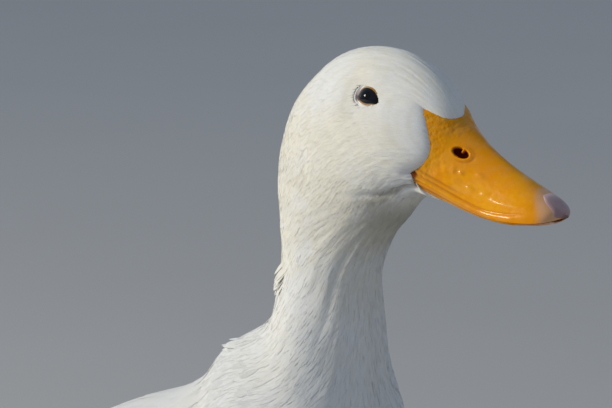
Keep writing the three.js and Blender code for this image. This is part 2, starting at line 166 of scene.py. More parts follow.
# ---- meshes
@dataclass
class Shell:
    """Points and polygons of one mesh, before it becomes a piece.

    The maps hold one pair of numbers for each point, and the masks one number. The lie of a coat
    is the surface normal under each point, which softens the shading of its feathers.
    """

    points: Array
    polygons: list[Array]
    masks: dict[str, Array] = field(default_factory=dict)
    maps: dict[str, Array] = field(default_factory=dict)
    sharp: Array | None = None
    lie: Array | None = None

    def joined(self, *others: "Shell") -> "Shell":
        """This shell and others as one, where all have the same masks and maps.

        Args:
            others: shells to add.

        Returns:
            One shell.
        """
        parts = [self, *others]
        offsets = np.cumsum([0] + [len(p.points) for p in parts[:-1]])
        polygons = [face + start for p, start in zip(parts, offsets) for face in p.polygons]
        masks = {k: np.concatenate([p.masks[k] for p in parts]) for k in self.masks}
        maps = {k: np.concatenate([p.maps[k] for p in parts]) for k in self.maps}
        whole = Shell(np.concatenate([p.points for p in parts]), polygons, masks, maps)
        if self.sharp is not None:
            whole.sharp = np.concatenate([p.sharp for p in parts])
            whole.lie = np.concatenate([p.lie for p in parts])
        return whole


def grid_polygons(rows: int, columns: int, torus: bool = False) -> Array:
    """Quads of a grid of points numbered row by row, where each row closes on itself.

    Args:
        rows: rows of points.
        columns: points in a row.
        torus: whether the last row joins the first.

    Returns:
        Corners, that face along the cross product of a step down and a step along.
    """
    i = np.arange(rows if torus else rows - 1)[:, None]
    j = np.arange(columns)[None, :]
    below, beside = (i + 1) % rows, (j + 1) % columns
    corners = [i * columns + j, below * columns + j, below * columns + beside, i * columns + beside]
    return np.stack(np.broadcast_arrays(*corners), -1).reshape(-1, 4)


def cap_polygons(start: int, columns: int, pole: int, flip: bool) -> Array:
    """Triangles that close a ring onto a point.

    Args:
        start: number of the ring's first point.
        columns: points in the ring.
        pole: number of the point.
        flip: whether the triangles turn the other way.

    Returns:
        Corners.
    """
    j = np.arange(columns)
    a, b = start + j, start + (j + 1) % columns
    return np.stack([b, a, np.full(columns, pole)] if flip else [a, b, np.full(columns, pole)], -1)


def grid(down: Array, across: Array) -> list[Array]:
    """Two parameters over a grid, the first down the rows and the second along them."""
    return np.meshgrid(down, across, indexing="ij")


def round_grid(down: Array, columns: int) -> list[Array]:
    """A grid of a first parameter down the rows, and of angles once around."""
    return grid(down, np.arange(columns) / columns * TURN)


def tube_shell(rings: Array, end: Array | None = None, **masks: Array) -> Shell:
    """A closed tube through rings of points, each end closed onto one point.

    Args:
        rings: points of shape (rows, columns, 3).
        end: point that closes the last ring, if not the ring's own middle.
        masks: masks over the rings, or over their first points with 0 at the others.

    Returns:
        The shell, facing out.
    """
    rows, columns = rings.shape[:2]
    last = rings[-1].mean(0) if end is None else end
    points = np.concatenate([rings.reshape(-1, 3), [rings[0].mean(0), last]])
    count = rows * columns
    polygons = [
        grid_polygons(rows, columns),
        cap_polygons(0, columns, count, flip=False),
        cap_polygons(count - columns, columns, count + 1, flip=True),
    ]
    padded = {k: np.pad(v, ((0, 0), (0, columns - v.shape[1]))) for k, v in masks.items()}
    ends = {k: [v[0].mean(), v[-1].mean()] for k, v in padded.items()}
    return outward(Shell(points, polygons, {k: np.append(v, ends[k]) for k, v in padded.items()}))


def outward(shell: Shell) -> Shell:
    """The shell with its polygons turned to face out, by the sign of the volume they enclose.

    Args:
        shell: a closed shell.

    Returns:
        The same shell.
    """
    volume = 0.0
    for face in shell.polygons:
        corner = shell.points[face]
        for k in range(1, face.shape[1] - 1):
            volume += dot(corner[:, 0], np.cross(corner[:, k], corner[:, k + 1])).sum()
    if volume < 0:
        shell.polygons = [face[:, ::-1] for face in shell.polygons]
    return shell


def surface_normals(points: Array, ring: bool) -> Array:
    """Unit normals of a grid of points, from central differences along rows and columns.

    Args:
        points: points of shape (rows, columns, 3).
        ring: whether each row closes on itself.

    Returns:
        Normals along the cross product of a step down and a step along.
    """
    down = np.gradient(points, axis=0)
    if ring:
        across = np.roll(points, -1, axis=1) - np.roll(points, 1, axis=1)
    else:
        across = np.gradient(points, axis=1)
    return unit(np.cross(down, across))


def facing(points: Array, middle: Array) -> Array:
    """Unit normals of an open sheet of points, away from a middle."""
    normals = surface_normals(points, ring=False)
    return normals * np.sign(dot(normals, points - middle).sum())


def make_piece(
    name: str, shell: Shell, material: Material, slot: str, replaces: tuple[str, ...] = ()
) -> None:
    """Makes a piece of the duck from a shell, riding on the one body.

    Args:
        name: the piece's name.
        shell: its points, in millimetres, and polygons.
        material: its finish.
        slot: the record's material slot; it is not used.
        replaces: the nodes it stands for.
    """
    mesh = bpy.data.meshes.new(name)
    corners = np.concatenate([face.ravel() for face in shell.polygons])
    sizes = np.concatenate([np.full(len(face), face.shape[1]) for face in shell.polygons])
    starts = np.concatenate([[0], np.cumsum(sizes)[:-1]])
    mesh.vertices.add(len(shell.points))
    mesh.vertices.foreach_set("co", (shell.points * METRES).astype(np.float32).ravel())
    mesh.loops.add(len(corners))
    mesh.loops.foreach_set("vertex_index", corners.astype(np.int32))
    mesh.polygons.add(len(sizes))
    mesh.polygons.foreach_set("loop_start", starts.astype(np.int32))
    mesh.polygons.foreach_set("use_smooth", np.ones(len(sizes), bool))
    mesh.update(calc_edges=True)
    for key, values in shell.masks.items():
        layer = mesh.attributes.new(key, "FLOAT", "POINT")
        layer.data.foreach_set("value", values.astype(np.float32))
    for key, values in shell.maps.items():
        layer = mesh.uv_layers.new(name=key, do_init=False)
        layer.data.foreach_set("uv", values[corners].astype(np.float32).ravel())
    if shell.sharp is not None:
        ends = np.zeros(2 * len(mesh.edges), np.int32)
        mesh.edges.foreach_get("vertices", ends)
        creased = shell.sharp[ends].reshape(-1, 2).all(1)
        layer = mesh.attributes.new("sharp_edge", "BOOLEAN", "EDGE")
        layer.data.foreach_set("value", creased)
    mesh.materials.append(material)
    mesh.validate(verbose=False)
    if shell.lie is not None:
        own, flat = np.zeros(3 * len(shell.points)), np.zeros(3 * len(sizes))
        mesh.vertex_normals.foreach_get("vector", own)
        mesh.polygons.foreach_get("normal", flat)
        soft = unit(own.reshape(-1, 3) * (1 - SOFTNESS) + shell.lie * SOFTNESS)[corners]
        flat = np.repeat(flat.reshape(-1, 3), sizes, axis=0)
        mesh.normals_split_custom_set(np.where(dot(flat, soft)[:, None] > 0.05, soft, flat))
    piece = bpy.data.objects.new(name, mesh)
    bpy.context.scene.collection.objects.link(piece)
    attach(piece, "root")
    if replaces:
        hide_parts(*replaces)
    LOG.info("%s: %d points, %d triangles", name, len(shell.points), int((sizes - 2).sum()))


# ---- shader graphs
class Graph:
    """A hand for wiring one node tree."""

    def __init__(self, tree: Tree, groups: dict[str, Tree] | None = None) -> None:
        """Keeps the tree that nodes are added to, and the shared groups by name."""
        self.tree, self.groups = tree, groups or {}

    def node(self, kind: str, inputs: dict | None = None, **settings: object) -> Node:
        """Adds a node.

        Args:
            kind: the node's type.
            inputs: what goes into its inputs, by name or number: an output, a number or a colour.
            settings: properties of the node.

        Returns:
            The node.
        """
        made = self.tree.nodes.new(kind)
        for key, value in settings.items():
            setattr(made, key, value)
        for key, value in (inputs or {}).items():
            if isinstance(value, Socket):
                self.tree.links.new(value, made.inputs[key])
            else:
                colour = made.inputs[key].type == "RGBA"
                made.inputs[key].default_value = (*value, 1.0) if colour else value
        return made

    def math(self, operation: str, a: object, b: object = 0.0) -> Socket:
        """The result of one sum on two values."""
        return self.node("ShaderNodeMath", {0: a, 1: b}, operation=operation).outputs[0]

    def times(self, *values: object) -> Socket:
        """The product of values."""
        return reduce(lambda a, b: self.math("MULTIPLY", a, b), values)

    def plus(self, a: object, b: object) -> Socket:
        """The sum of two values."""
        return self.math("ADD", a, b)

    def less(self, value: object) -> Socket:
        """One less a value."""
        return self.math("SUBTRACT", 1.0, value)

    def span(self, value: object, low: float, high: float, to: Pair = (0, 1)) -> Socket:
        """A value carried smoothly from low..high to a new range, and held at its ends.

        Args:
            value: an output or a number.
            low: where the old range starts.
            high: where it ends.
            to: the new range.

        Returns:
            The carried value.
        """
        inputs = {"Value": value, "From Min": low, "From Max": high}
        inputs |= {"To Min": to[0], "To Max": to[1]}
        return self.node("ShaderNodeMapRange", inputs, interpolation_type="SMOOTHSTEP").outputs[0]

    def mix(self, share: object, a: object, b: object) -> Socket:
        """A colour between two."""
        return self.node("ShaderNodeMix", {0: share, 6: a, 7: b}, data_type="RGBA").outputs[2]

    def noise(
        self, scale: object, detail: float = 3.0, rough: float = 0.5, where: Socket | None = None
    ) -> Socket:
        """Soft noise from 0 to 1, at the place on the piece if no other is given.

        Args:
            scale: how fine the noise is.
            detail: how many finer layers it has.
            rough: how strong those are.
            where: the place, if not the piece's own.

        Returns:
            The noise.
        """
        inputs = {"Vector": where or self.place(), "Scale": scale}
        inputs |= {"Detail": detail, "Roughness": rough}
        return self.node("ShaderNodeTexNoise", inputs).outputs[0]

    def mask(self, name: str) -> Socket:
        """One of the piece's own masks."""
        return self.node("ShaderNodeAttribute", attribute_name=name).outputs["Fac"]

    def map(self, name: str) -> Socket:
        """One of the piece's own maps."""
        return self.node("ShaderNodeUVMap", uv_map=name).outputs[0]

    def place(self, stretch: tuple[float, float, float] = (1, 1, 1)) -> Socket:
        """The place on the piece in its own metres, stretched."""
        where = self.node("ShaderNodeTexCoord").outputs["Object"]
        return self.node("ShaderNodeMapping", {"Vector": where, "Scale": stretch}).outputs[0]

    def group(self, name: str, **inputs: object) -> bpy.types.bpy_prop_collection:
        """The outputs of a shared group with its inputs."""
        return self.node("ShaderNodeGroup", inputs, node_tree=self.groups[name]).outputs

    def bump(self, height: object, strength: float, distance: float) -> Socket:
        """A normal that leans with a height in metres."""
        inputs = {"Height": height, "Strength": strength, "Distance": distance}
        return self.node("ShaderNodeBump", inputs).outputs[0]


class EffectLibrary:
    """Node groups that several finishes use, each built once."""

    def __init__(self) -> None:
        """Builds every group."""
        self.groups = {
            "mottle": self._group(self._mottle, "Base Other Shaded", "Amount Scale Shade"),
            "barbs": self._group(self._barbs, "Vane", "Count Slant"),
            "pores": self._group(self._pores, "", "Scale Waviness"),
            "scales": self._group(self._scales, "Place", "Scale"),
        }

    def _group(self, wire: Callable, wide: str, numbers: str) -> Tree:
        """Builds a group.

        Args:
            wire: wires its inside, from a graph and the inputs by name to the outputs by name.
            wide: names of the colours among its inputs, or of the one place.
            numbers: names of the plain numbers among its inputs.

        Returns:
            The group.
        """
        tree = bpy.data.node_groups.new(wire.__name__.strip("_"), "ShaderNodeTree")
        kind = "NodeSocketColor" if len(wide.split()) > 1 else "NodeSocketVector"
        for names, kind in ((wide, kind), (numbers, "NodeSocketFloat")):
            for name in names.split():
                tree.interface.new_socket(name=name, in_out="INPUT", socket_type=kind)
        source = tree.nodes.new("NodeGroupInput")
        given = {name: source.outputs[name] for name in (wide + " " + numbers).split()}
        made = wire(Graph(tree), given)
        for name, socket in made.items():
            kind = "NodeSocketColor" if socket.type == "RGBA" else "NodeSocketFloat"
            tree.interface.new_socket(name=name, in_out="OUTPUT", socket_type=kind)
        end = tree.nodes.new("NodeGroupOutput")
        for name, socket in made.items():
            tree.links.new(socket, end.inputs[name])
        return tree

    @staticmethod
    def _mottle(g: Graph, given: Sockets) -> Sockets:
        """Mottling: noise of two sizes carries a colour toward another, and a shade darkens it.

        Args:
            g: the graph to wire.
            given: the group's inputs by name.

        Returns:
            The outputs by name.
        """
        where = g.place()
        broad = g.noise(given["Scale"], 2.0, where=where)
        fine = g.noise(g.times(given["Scale"], 9.0), 2.0, where=where)
        spread = g.plus(g.times(broad, 0.7), g.times(fine, 0.3))
        mask = g.times(g.span(spread, 0.36, 0.64), given["Amount"])
        tinted = g.mix(mask, given["Base"], given["Other"])
        return {"Color": g.mix(given["Shade"], tinted, given["Shaded"])}

    @staticmethod
    def _barbs(g: Graph, given: Sockets) -> Sockets:
        """Barbs of a vane: fine ridges that slant from the shaft to the margin, with splits.

        Args:
            g: the graph to wire.
            given: the group's inputs by name.

        Returns:
            The outputs by name.
        """
        parts = g.node("ShaderNodeSeparateXYZ", {0: given["Vane"]}).outputs
        aside = g.math("ABSOLUTE", g.math("SUBTRACT", parts[0], 0.5))
        slant = g.plus(parts[1], g.times(aside, given["Slant"]))
        phase = g.times(g.plus(slant, g.times(g.noise(90.0, 2.0), 0.02)), given["Count"])
        coarse = g.node("ShaderNodeCombineXYZ", {0: g.times(phase, 0.13)}).outputs[0]
        split = g.span(g.noise(1.0, 3.0, 0.6, coarse), 0.6, 0.7)
        return {
            "Height": g.times(g.math("SINE", g.times(phase, float(TURN))), 0.5),
            "Split": g.times(split, g.span(aside, 0.1, 0.4)),
        }

    @staticmethod
    def _pores(g: Graph, given: Sockets) -> Sockets:
        """Small pits and grains of skin and horn, with a slow waviness under them.

        Args:
            g: the graph to wire.
            given: the group's inputs by name.

        Returns:
            The outputs by name.
        """
        where = g.place()
        cells = g.node("ShaderNodeTexVoronoi", {"Vector": where, "Scale": given["Scale"]})
        pit = g.span(cells.outputs["Distance"], 0.05, 0.45)
        wave = g.noise(g.times(given["Scale"], 0.16), where=where)
        return {"Height": g.plus(pit, g.times(wave, given["Waviness"])), "Mask": pit}

    @staticmethod
    def _scales(g: Graph, given: Sockets) -> Sockets:
        """Flat many-sided scales, raised inside and parted by fine furrows.

        Args:
            g: the graph to wire.
            given: the group's inputs by name.

        Returns:
            The outputs by name.
        """
        inputs = {"Vector": given["Place"], "Scale": given["Scale"], "Randomness": 0.55}
        cells = g.node("ShaderNodeTexVoronoi", inputs, feature="DISTANCE_TO_EDGE")
        return {"Height": g.span(cells.outputs["Distance"], 0.02, 0.2)}


@dataclass(frozen=True)
class Finish:
    """What every finish shares: a name, and a principled shader with plain and linked inputs."""

    name: str
    plain: ClassVar[dict[str, float]] = {}

    def wire(self, g: Graph) -> Sockets:
        """What is linked to the shader, by the input's name."""
        raise NotImplementedError

    def build(self, effects: EffectLibrary) -> Material:
        """Builds the material.

        Args:
            effects: the shared groups.

        Returns:
            The material.
        """
        material = bpy.data.materials.new(self.name)
        material.use_nodes = True
        material.node_tree.nodes.clear()
        g = Graph(material.node_tree, effects.groups)
        shader = g.node("ShaderNodeBsdfPrincipled", self.plain | self.wire(g))
        g.node("ShaderNodeOutputMaterial", {"Surface": shader.outputs[0]})
        return material


@dataclass(frozen=True)
class PlumageFinish(Finish):
    """White feathers, a little cream on head and throat, and painted shade toward hidden roots and
    where lit is low.
    """

    plain = {"IOR": 1.45, "Specular IOR Level": 0.2, "Sheen Weight": 0.2, "Sheen Roughness": 0.5}
    white: Colour = (0.84, 0.84, 0.825)
    cream: Colour = (0.835, 0.80, 0.695)
    # painted shade: the colour feathers darken toward at hidden roots and where the lit mask is low
    root: Colour = (0.36, 0.335, 0.265)
    lid: tuple[Colour, Colour] = ((0.84, 0.81, 0.76), (0.93, 0.91, 0.87))
    rim: Colour = (0.42, 0.19, 0.008)
    # painted shade in the lid furrows and along the rear of the lid margin
    fold: Colour = (0.25, 0.15, 0.11)
    corner: Colour = (0.10, 0.03, 0.018)
    barbed: bool = False
    bare: bool = False

    def wire(self, g: Graph) -> Sockets:
        """The feathers, with barbs on vanes and bare lids on the skin.

        Args:
            g: the graph to wire.

        Returns:
            What is linked, by the input's name.
        """
        tall = g.node("ShaderNodeSeparateXYZ", {0: g.place()}).outputs[2]
        # more cream below 0.40 m; on the throat this cream is partly a painted warm shade
        head, throat = g.span(tall, 0.27, 0.36, (0.1, 0.95)), g.span(tall, 0.40, 0.34, (0.0, 0.25))
        # painted shade from the lit mask, toward the root colour
        shade = g.times(g.less(g.mask("lit")), 0.85)
        colour = g.group(
            "mottle", Base=self.white, Other=self.cream, Amount=g.plus(head, throat), Scale=26.0,
            Shade=shade, Shaded=self.root,
        )["Color"]
        rough = g.span(g.noise(700.0), 0.3, 0.7, (0.78, 0.92))
        height = g.times(g.noise(1500.0, 2.0), 0.5)
        if self.barbed:
            barbs = g.group("barbs", Vane=g.map("Vane"), Count=46.0, Slant=0.55)
            height = g.plus(g.plus(barbs["Height"], g.times(barbs["Split"], -2.0)), height)
            # painted shade in the splits between barbs
            colour = g.mix(g.times(barbs["Split"], 0.22), colour, self.root)
        if self.bare:
            pores = g.group("pores", Scale=2600.0, Waviness=1.0)
            bare, rim, corner = g.mask("bare"), g.mask("rim"), g.mask("corner")
            skin = g.mix(rim, g.mix(pores["Mask"], *self.lid), self.rim)
            # painted shade in the lid furrows, by the fold mask
            skin = g.mix(g.times(g.mask("fold"), 0.75), skin, self.fold)
            colour = g.mix(bare, colour, g.mix(corner, skin, self.corner))
            height = g.plus(height, g.times(pores["Height"], bare))
            rough = g.span(g.plus(rim, corner), 0.0, 1.0, (0.72, 0.35))
        return {"Base Color": colour, "Roughness": rough, "Normal": g.bump(height, 0.5, 0.00012)}


@dataclass(frozen=True)
class HornFinish(Finish):
    """The bill's wet-looking orange skin, browner at its base and paler toward the nail, with
    painted shade in hollows and furrows.
    """

    plain = {"IOR": 1.48, "Specular IOR Level": 0.1, "Coat Roughness": 0.13, "Coat IOR": 1.42}
    orange: Colour = (0.84, 0.30, 0.002)
    yellow: Colour = (0.88, 0.37, 0.003)
    # browner at the base; on the top near the base this is painted shade
    brown: Colour = (0.64, 0.245, 0.002)
    worn: Colour = (0.62, 0.36, 0.05)
    pale: Colour = (0.78, 0.41, 0.20)
    # painted shade in the lip furrows and round the nostril
    furrow: Colour = (0.40, 0.12, 0.004)
    streak: Colour = (0.55, 0.17, 0.004)
    # painted shade inside the nostril pit and the gape corner
    hollow: Colour = (0.10, 0.004, 0.003)

    def wire(self, g: Graph) -> Sockets:
        """Orange toward brown or pale by the bill's masks, with painted shade in hollows and
        furrows, wet in places.

        Args:
            g: the graph to wire.

        Returns:
            What is linked, by the input's name.
        """
        base, dark = g.mask("base"), g.mask("dark")
        colour = g.group(
            "mottle", Base=self.orange, Other=self.yellow, Amount=1.0, Scale=60.0,
            Shade=0.0, Shaded=self.brown,
        )["Color"]
        colour = g.mix(g.times(base, 0.6), colour, self.brown)
        speckle = g.span(g.noise(420.0, 4.0, 0.6), 0.42, 0.66)
        colour = g.mix(g.times(speckle, base, 0.5), colour, self.worn)
        colour = g.mix(g.mask("tip"), colour, self.pale)
        # painted shade in the lip furrows and round the nostril
        colour = g.mix(g.times(g.mask("groove"), 0.6), colour, self.furrow)
        streaks = g.span(g.noise(260.0, 3.0), 0.55, 0.75)
        colour = g.mix(g.times(streaks, 0.10), colour, self.streak)
        rough = g.span(g.noise(180.0, 4.0, 0.6), 0.3, 0.7, (0.24, 0.42))
        rough = g.plus(g.plus(rough, g.times(base, 0.15)), g.times(dark, 0.3))
        wet = g.span(g.noise(150.0, 2.0), 0.4, 0.62, (0.12, 1.0))
        grain = g.group("pores", Scale=900.0, Waviness=2.2)["Height"]
        return {
            # painted shade in the nostril pit and gape corner, by the dark mask
            "Base Color": g.mix(dark, colour, self.hollow),
            "Roughness": rough,
            "Coat Weight": g.times(wet, g.less(g.times(base, 0.3)), g.less(dark)),
            "Normal": g.bump(g.times(grain, g.span(base, 0, 1, (0.35, 1.3))), 0.5, 0.00016),
        }


@dataclass(frozen=True)
class NailFinish(Finish):
    """The hard nail: mauve grey with a pale painted highlight along its border and rear, and a
    brown tip.
    """

    plain = {"IOR": 1.52, "Specular IOR Level": 0.5, "Coat Weight": 0.5, "Coat Roughness": 0.12}
    grey: Colour = (0.36, 0.19, 0.19)
    mauve: Colour = (0.42, 0.26, 0.25)
    # painted highlight along the nail's border and rear
    pale: Colour = (0.82, 0.56, 0.52)
    brown: Colour = (0.16, 0.06, 0.02)

    def wire(self, g: Graph) -> Sockets:
        """Streaks along the nail, with the painted highlight on the border and the tip by its
        masks.

        Args:
            g: the graph to wire.

        Returns:
            What is linked, by the input's name.
        """
        streak = g.noise(160.0, 4.0, 0.6, g.place((1.0, 6.0, 6.0)))
        # painted highlight: the pale mask carries the border toward the pale colour
        tone = g.group(
            "mottle", Base=self.grey, Other=self.mauve, Amount=1.0, Scale=150.0,
            Shade=g.mask("pale"), Shaded=self.pale,
        )["Color"]
        return {
            "Base Color": g.mix(g.mask("point"), tone, self.brown),
            "Roughness": g.span(streak, 0.3, 0.7, (0.26, 0.44)),
            "Normal": g.bump(streak, 0.35, 0.00015),
        }


@dataclass(frozen=True)
class EyeFinish(Finish):
    """A wet dark eye: black pupil, slate-brown iris with fine spokes, dark beyond it."""

    plain = {
        "IOR": 1.4, "Specular IOR Level": 0.1,
        "Coat Weight": 1.0, "Coat Roughness": 0.03, "Coat IOR": 1.33,
    }
    pupil: Colour = (0.002, 0.002, 0.003)
    iris: Colour = (0.003, 0.0035, 0.005)
    ring: Colour = (0.009, 0.012, 0.018)
    beyond: Colour = (0.006, 0.005, 0.006)

    def wire(self, g: Graph) -> Sockets:
        """Rings by the reach from the pole, and spokes round it.

        Args:
            g: the graph to wire.

        Returns:
            What is linked, by the input's name.
        """
        reach = g.mask("reach")
        spokes = g.noise(26.0, 4.0, 0.6, g.map("Spokes"))
        inside = g.span(reach, 2.2, 2.7)
        colour = g.mix(inside, self.pupil, g.mix(spokes, self.iris, self.ring))
        return {
            "Base Color": g.mix(g.span(reach, 4.0, 4.7), colour, self.beyond),
            "Roughness": g.span(spokes, 0.3, 0.7, (0.10, 0.2)),
            "Normal": g.bump(g.times(spokes, inside), 0.25, 0.0001),
        }


@dataclass(frozen=True)
class ScalyFinish(Finish):
    """Orange scaly skin of shanks, toes and webs."""

    plain = {"IOR": 1.45, "Specular IOR Level": 0.45}
    orange: Colour = (0.74, 0.23, 0.012)
    bright: Colour = (0.80, 0.31, 0.02)
    deep: Colour = (0.42, 0.10, 0.008)
    dust: Colour = (0.48, 0.27, 0.12)

    def wire(self, g: Graph) -> Sockets:
        """Fine scales on the webs and broad ones elsewhere, dusty in places.

        Args:
            g: the graph to wire.

        Returns:
            What is linked, by the input's name.
        """
        broad = g.group("scales", Place=g.place(), Scale=560.0)["Height"]
        fine = g.group("scales", Place=g.place(), Scale=950.0)["Height"]
        height = g.node("ShaderNodeMix", {0: g.mask("web"), 2: broad, 3: fine}).outputs[0]
        tone = g.group(
            "mottle", Base=self.orange, Other=self.bright, Amount=1.0, Scale=70.0,
            Shade=g.times(g.less(height), 0.4), Shaded=self.deep,
        )["Color"]
        dust = g.span(g.noise(85.0, 4.0, 0.6), 0.55, 0.75, (0.0, 0.35))
        return {
            "Base Color": g.mix(dust, tone, self.dust),
            "Roughness": g.span(g.noise(240.0), 0.3, 0.7, (0.42, 0.62)),
            "Normal": g.bump(height, 0.5, 0.0002),
        }


@dataclass(frozen=True)
class ClawFinish(Finish):
    """Blunt horn claws, pale at the root and darker at the tip."""

    plain = {"IOR": 1.5, "Specular IOR Level": 0.5}
    tan: Colour = (0.50, 0.33, 0.20)
    brown: Colour = (0.34, 0.20, 0.12)
    tip: Colour = (0.10, 0.06, 0.045)

    def wire(self, g: Graph) -> Sockets:
        """Streaks along the claw, darker at the point.

        Args:
            g: the graph to wire.

        Returns:
            What is linked, by the input's name.
        """
        streak = g.noise(320.0, 4.0, where=g.place((1.0, 5.0, 5.0)))
        tone = g.group(
            "mottle", Base=self.tan, Other=self.brown, Amount=1.0, Scale=200.0,
            Shade=g.mask("point"), Shaded=self.tip,
        )["Color"]
        rough = g.span(streak, 0.3, 0.7, (0.3, 0.5))
        return {"Base Color": tone, "Roughness": rough, "Normal": g.bump(streak, 0.4, 0.0002)}


@dataclass(frozen=True)
class FloorFinish(Finish):
    """A plain pale matt floor."""

    plain = {"Specular IOR Level": 0.1}
    grey: Colour = (0.56, 0.54, 0.51)
    lighter: Colour = (0.5936, 0.5724, 0.5406)

    def wire(self, g: Graph) -> Sockets:
        """Very soft mottling."""
        rough = g.span(g.noise(40.0), 0.3, 0.7, (0.85, 0.95))
        return {"Base Color": g.mix(g.noise(3.0), self.grey, self.lighter), "Roughness": rough}


@dataclass(frozen=True)
class Finishes:
    """Every material of the scene, built from the shared effects."""

    coat: Material
    vane: Material
    skin: Material
    bill: Material
    nail: Material
    eye: Material
    legs: Material
    claw: Material
    floor: Material

    @staticmethod
    def built() -> "Finishes":
        """Builds every material.

        Returns:
            The materials.
        """
        effects = EffectLibrary()
        kinds = (
            PlumageFinish("coat_plumage"), PlumageFinish("vane_plumage", barbed=True),
            PlumageFinish("downy_skin", bare=True), HornFinish("bill_horn"),
            NailFinish("bill_nail_horn"), EyeFinish("wet_eye"), ScalyFinish("scaly_skin"),
            ClawFinish("claw_horn"), FloorFinish("studio_floor"),
        )
        return Finishes(*(kind.build(effects) for kind in kinds))


# ---- the form under the feathers
@dataclass(frozen=True)
class Skull:
    """The skull's own frame: x toward the bill, y to the left, z up, zero between the eyes."""

    neck_axis: float = 98.0
    eyes_x: float = 131.6
    eyes_z: float = 419.0
    pitch: float = np.radians(15.0)
    turn: float = np.radians(-16.0)
    shift: float = 25.6

    def twist(self, points: Array, share: Array | float) -> Array:
        """Points turned about the neck's upright axis by a share of the turn, then shifted."""
        x, y = turned(points[..., 0] - self.neck_axis, points[..., 1], self.turn * share)
        return np.stack([x + self.neck_axis + self.shift, y, points[..., 2]], -1)

    def place(self, points: Array | tuple) -> Array:
        """Points of the skull's frame carried into the model's frame.

        Args:
            points: the points.

        Returns:
            The points.
        """
        x, y, z = np.moveaxis(np.asarray(points, float), -1, 0)
        x, z = turned(x, z, -self.pitch)
        return self.twist(np.stack([self.eyes_x + x, y, self.eyes_z + z], -1), 1.0)

    def local(self, points: Array) -> Array:
        """Points of the model's frame in the skull's frame.

        Args:
            points: the points.

        Returns:
            The points.
        """
        x, y = turned(points[..., 0] - self.shift - self.neck_axis, points[..., 1], -self.turn)
        x, z = turned(x + self.neck_axis - self.eyes_x, points[..., 2] - self.eyes_z, self.pitch)
        return np.stack([x, y, z], -1)

    def direction(self, vector: tuple[float, ...]) -> Array:
        """A direction of the skull's frame in the model's frame."""
        ends = self.place(np.array([[0.0, 0.0, 0.0], vector]))
        return unit(ends[1] - ends[0])


SKULL = Skull()


@dataclass(frozen=True)
class BillForm:
    """The bill's shape in the skull's frame.

    Each station holds the culmen (x, z), the cutting edge (x, z), the underside (x, z), the half
    width, and how peaked the roof is.
    """

    stations: Table = (
        (26, 7, 26, -28, 24, -38, 18, 0.2), (37, 4.4, 35, -30.2, 34, -38.3, 16.9, 0.5),
        (47, -0.8, 45, -32, 45, -38.4, 15, 0.95), (59, -6.8, 57, -33.8, 57, -38.8, 13.7, 1.15),
        (72, -11.2, 69, -34.4, 69, -38.2, 13.6, 1.1), (85, -14.2, 82, -33, 82, -35.8, 14.3, 1),
        (95, -16.8, 94, -29.6, 93, -32.2, 14, 0.9),
        (102.5, -19.4, 102, -26.6, 100.5, -29.2, 10.5, 0.85),
        (106.6, -22.2, 106.6, -23.8, 105, -26, 1, 0.8),
    )
    lower_share: float = 0.88
    lower_end: float = 10 / 11
    gap: float = 0.3

    def lines(self, share: Array) -> Array:
        """The stations' numbers at shares of the bill's length."""
        return catmull_rom(self.stations, np.asarray(share) * (len(self.stations) - 1))

    def roof(self, share: Array, across: Array) -> Array:
        """Points of the upper mandible in the skull's frame.

        A section rises from the edge to the culmen with the cosine of an angle, and its width is
        the angle's sine to the power that says how peaked the roof is.

        Args:
            share: shares of the length from the base.
            across: from -1 at the right edge over 0 at the culmen to 1 at the left edge.

        Returns:
            The points.
        """
        rows = self.lines(share)
        power = np.maximum(rows[..., 7], 0.05)
        angle = np.sign(across) * np.abs(across) ** np.clip(1 / power, 1, 3) * np.pi / 2
        up = np.cos(angle)
        side = np.sign(angle) * np.abs(np.sin(angle)) ** power
        x = rows[..., 2] + (rows[..., 0] - rows[..., 2]) * up
        z = rows[..., 3] + (rows[..., 1] - rows[..., 3]) * up
        return np.stack([x, rows[..., 6] * side, z], -1)

    def trough(self, share: Array, across: Array) -> Array:
        """Points of the lower mandible's underside, at the same shares as the roof's.

        Args:
            share: shares of the length.
            across: from -1 at the right edge under 0 at the middle to 1 at the left edge.

        Returns:
            The points.
        """
        rows = self.lines(share)
        angle = across * np.pi / 2
        down = np.cos(angle)
        x = rows[..., 2] + (rows[..., 4] - rows[..., 2]) * down
        z = rows[..., 3] - self.gap + (rows[..., 5] - rows[..., 3]) * down
        return np.stack([x, rows[..., 6] * self.lower_share * np.sin(angle), z], -1)


@dataclass(frozen=True)
class Sample:
    """A surface at some places: points, unit normals, and steps for one unit of each parameter."""

    point: Array
    normal: Array
    along: Array
    around: Array
    depth: Array
    lit: Array


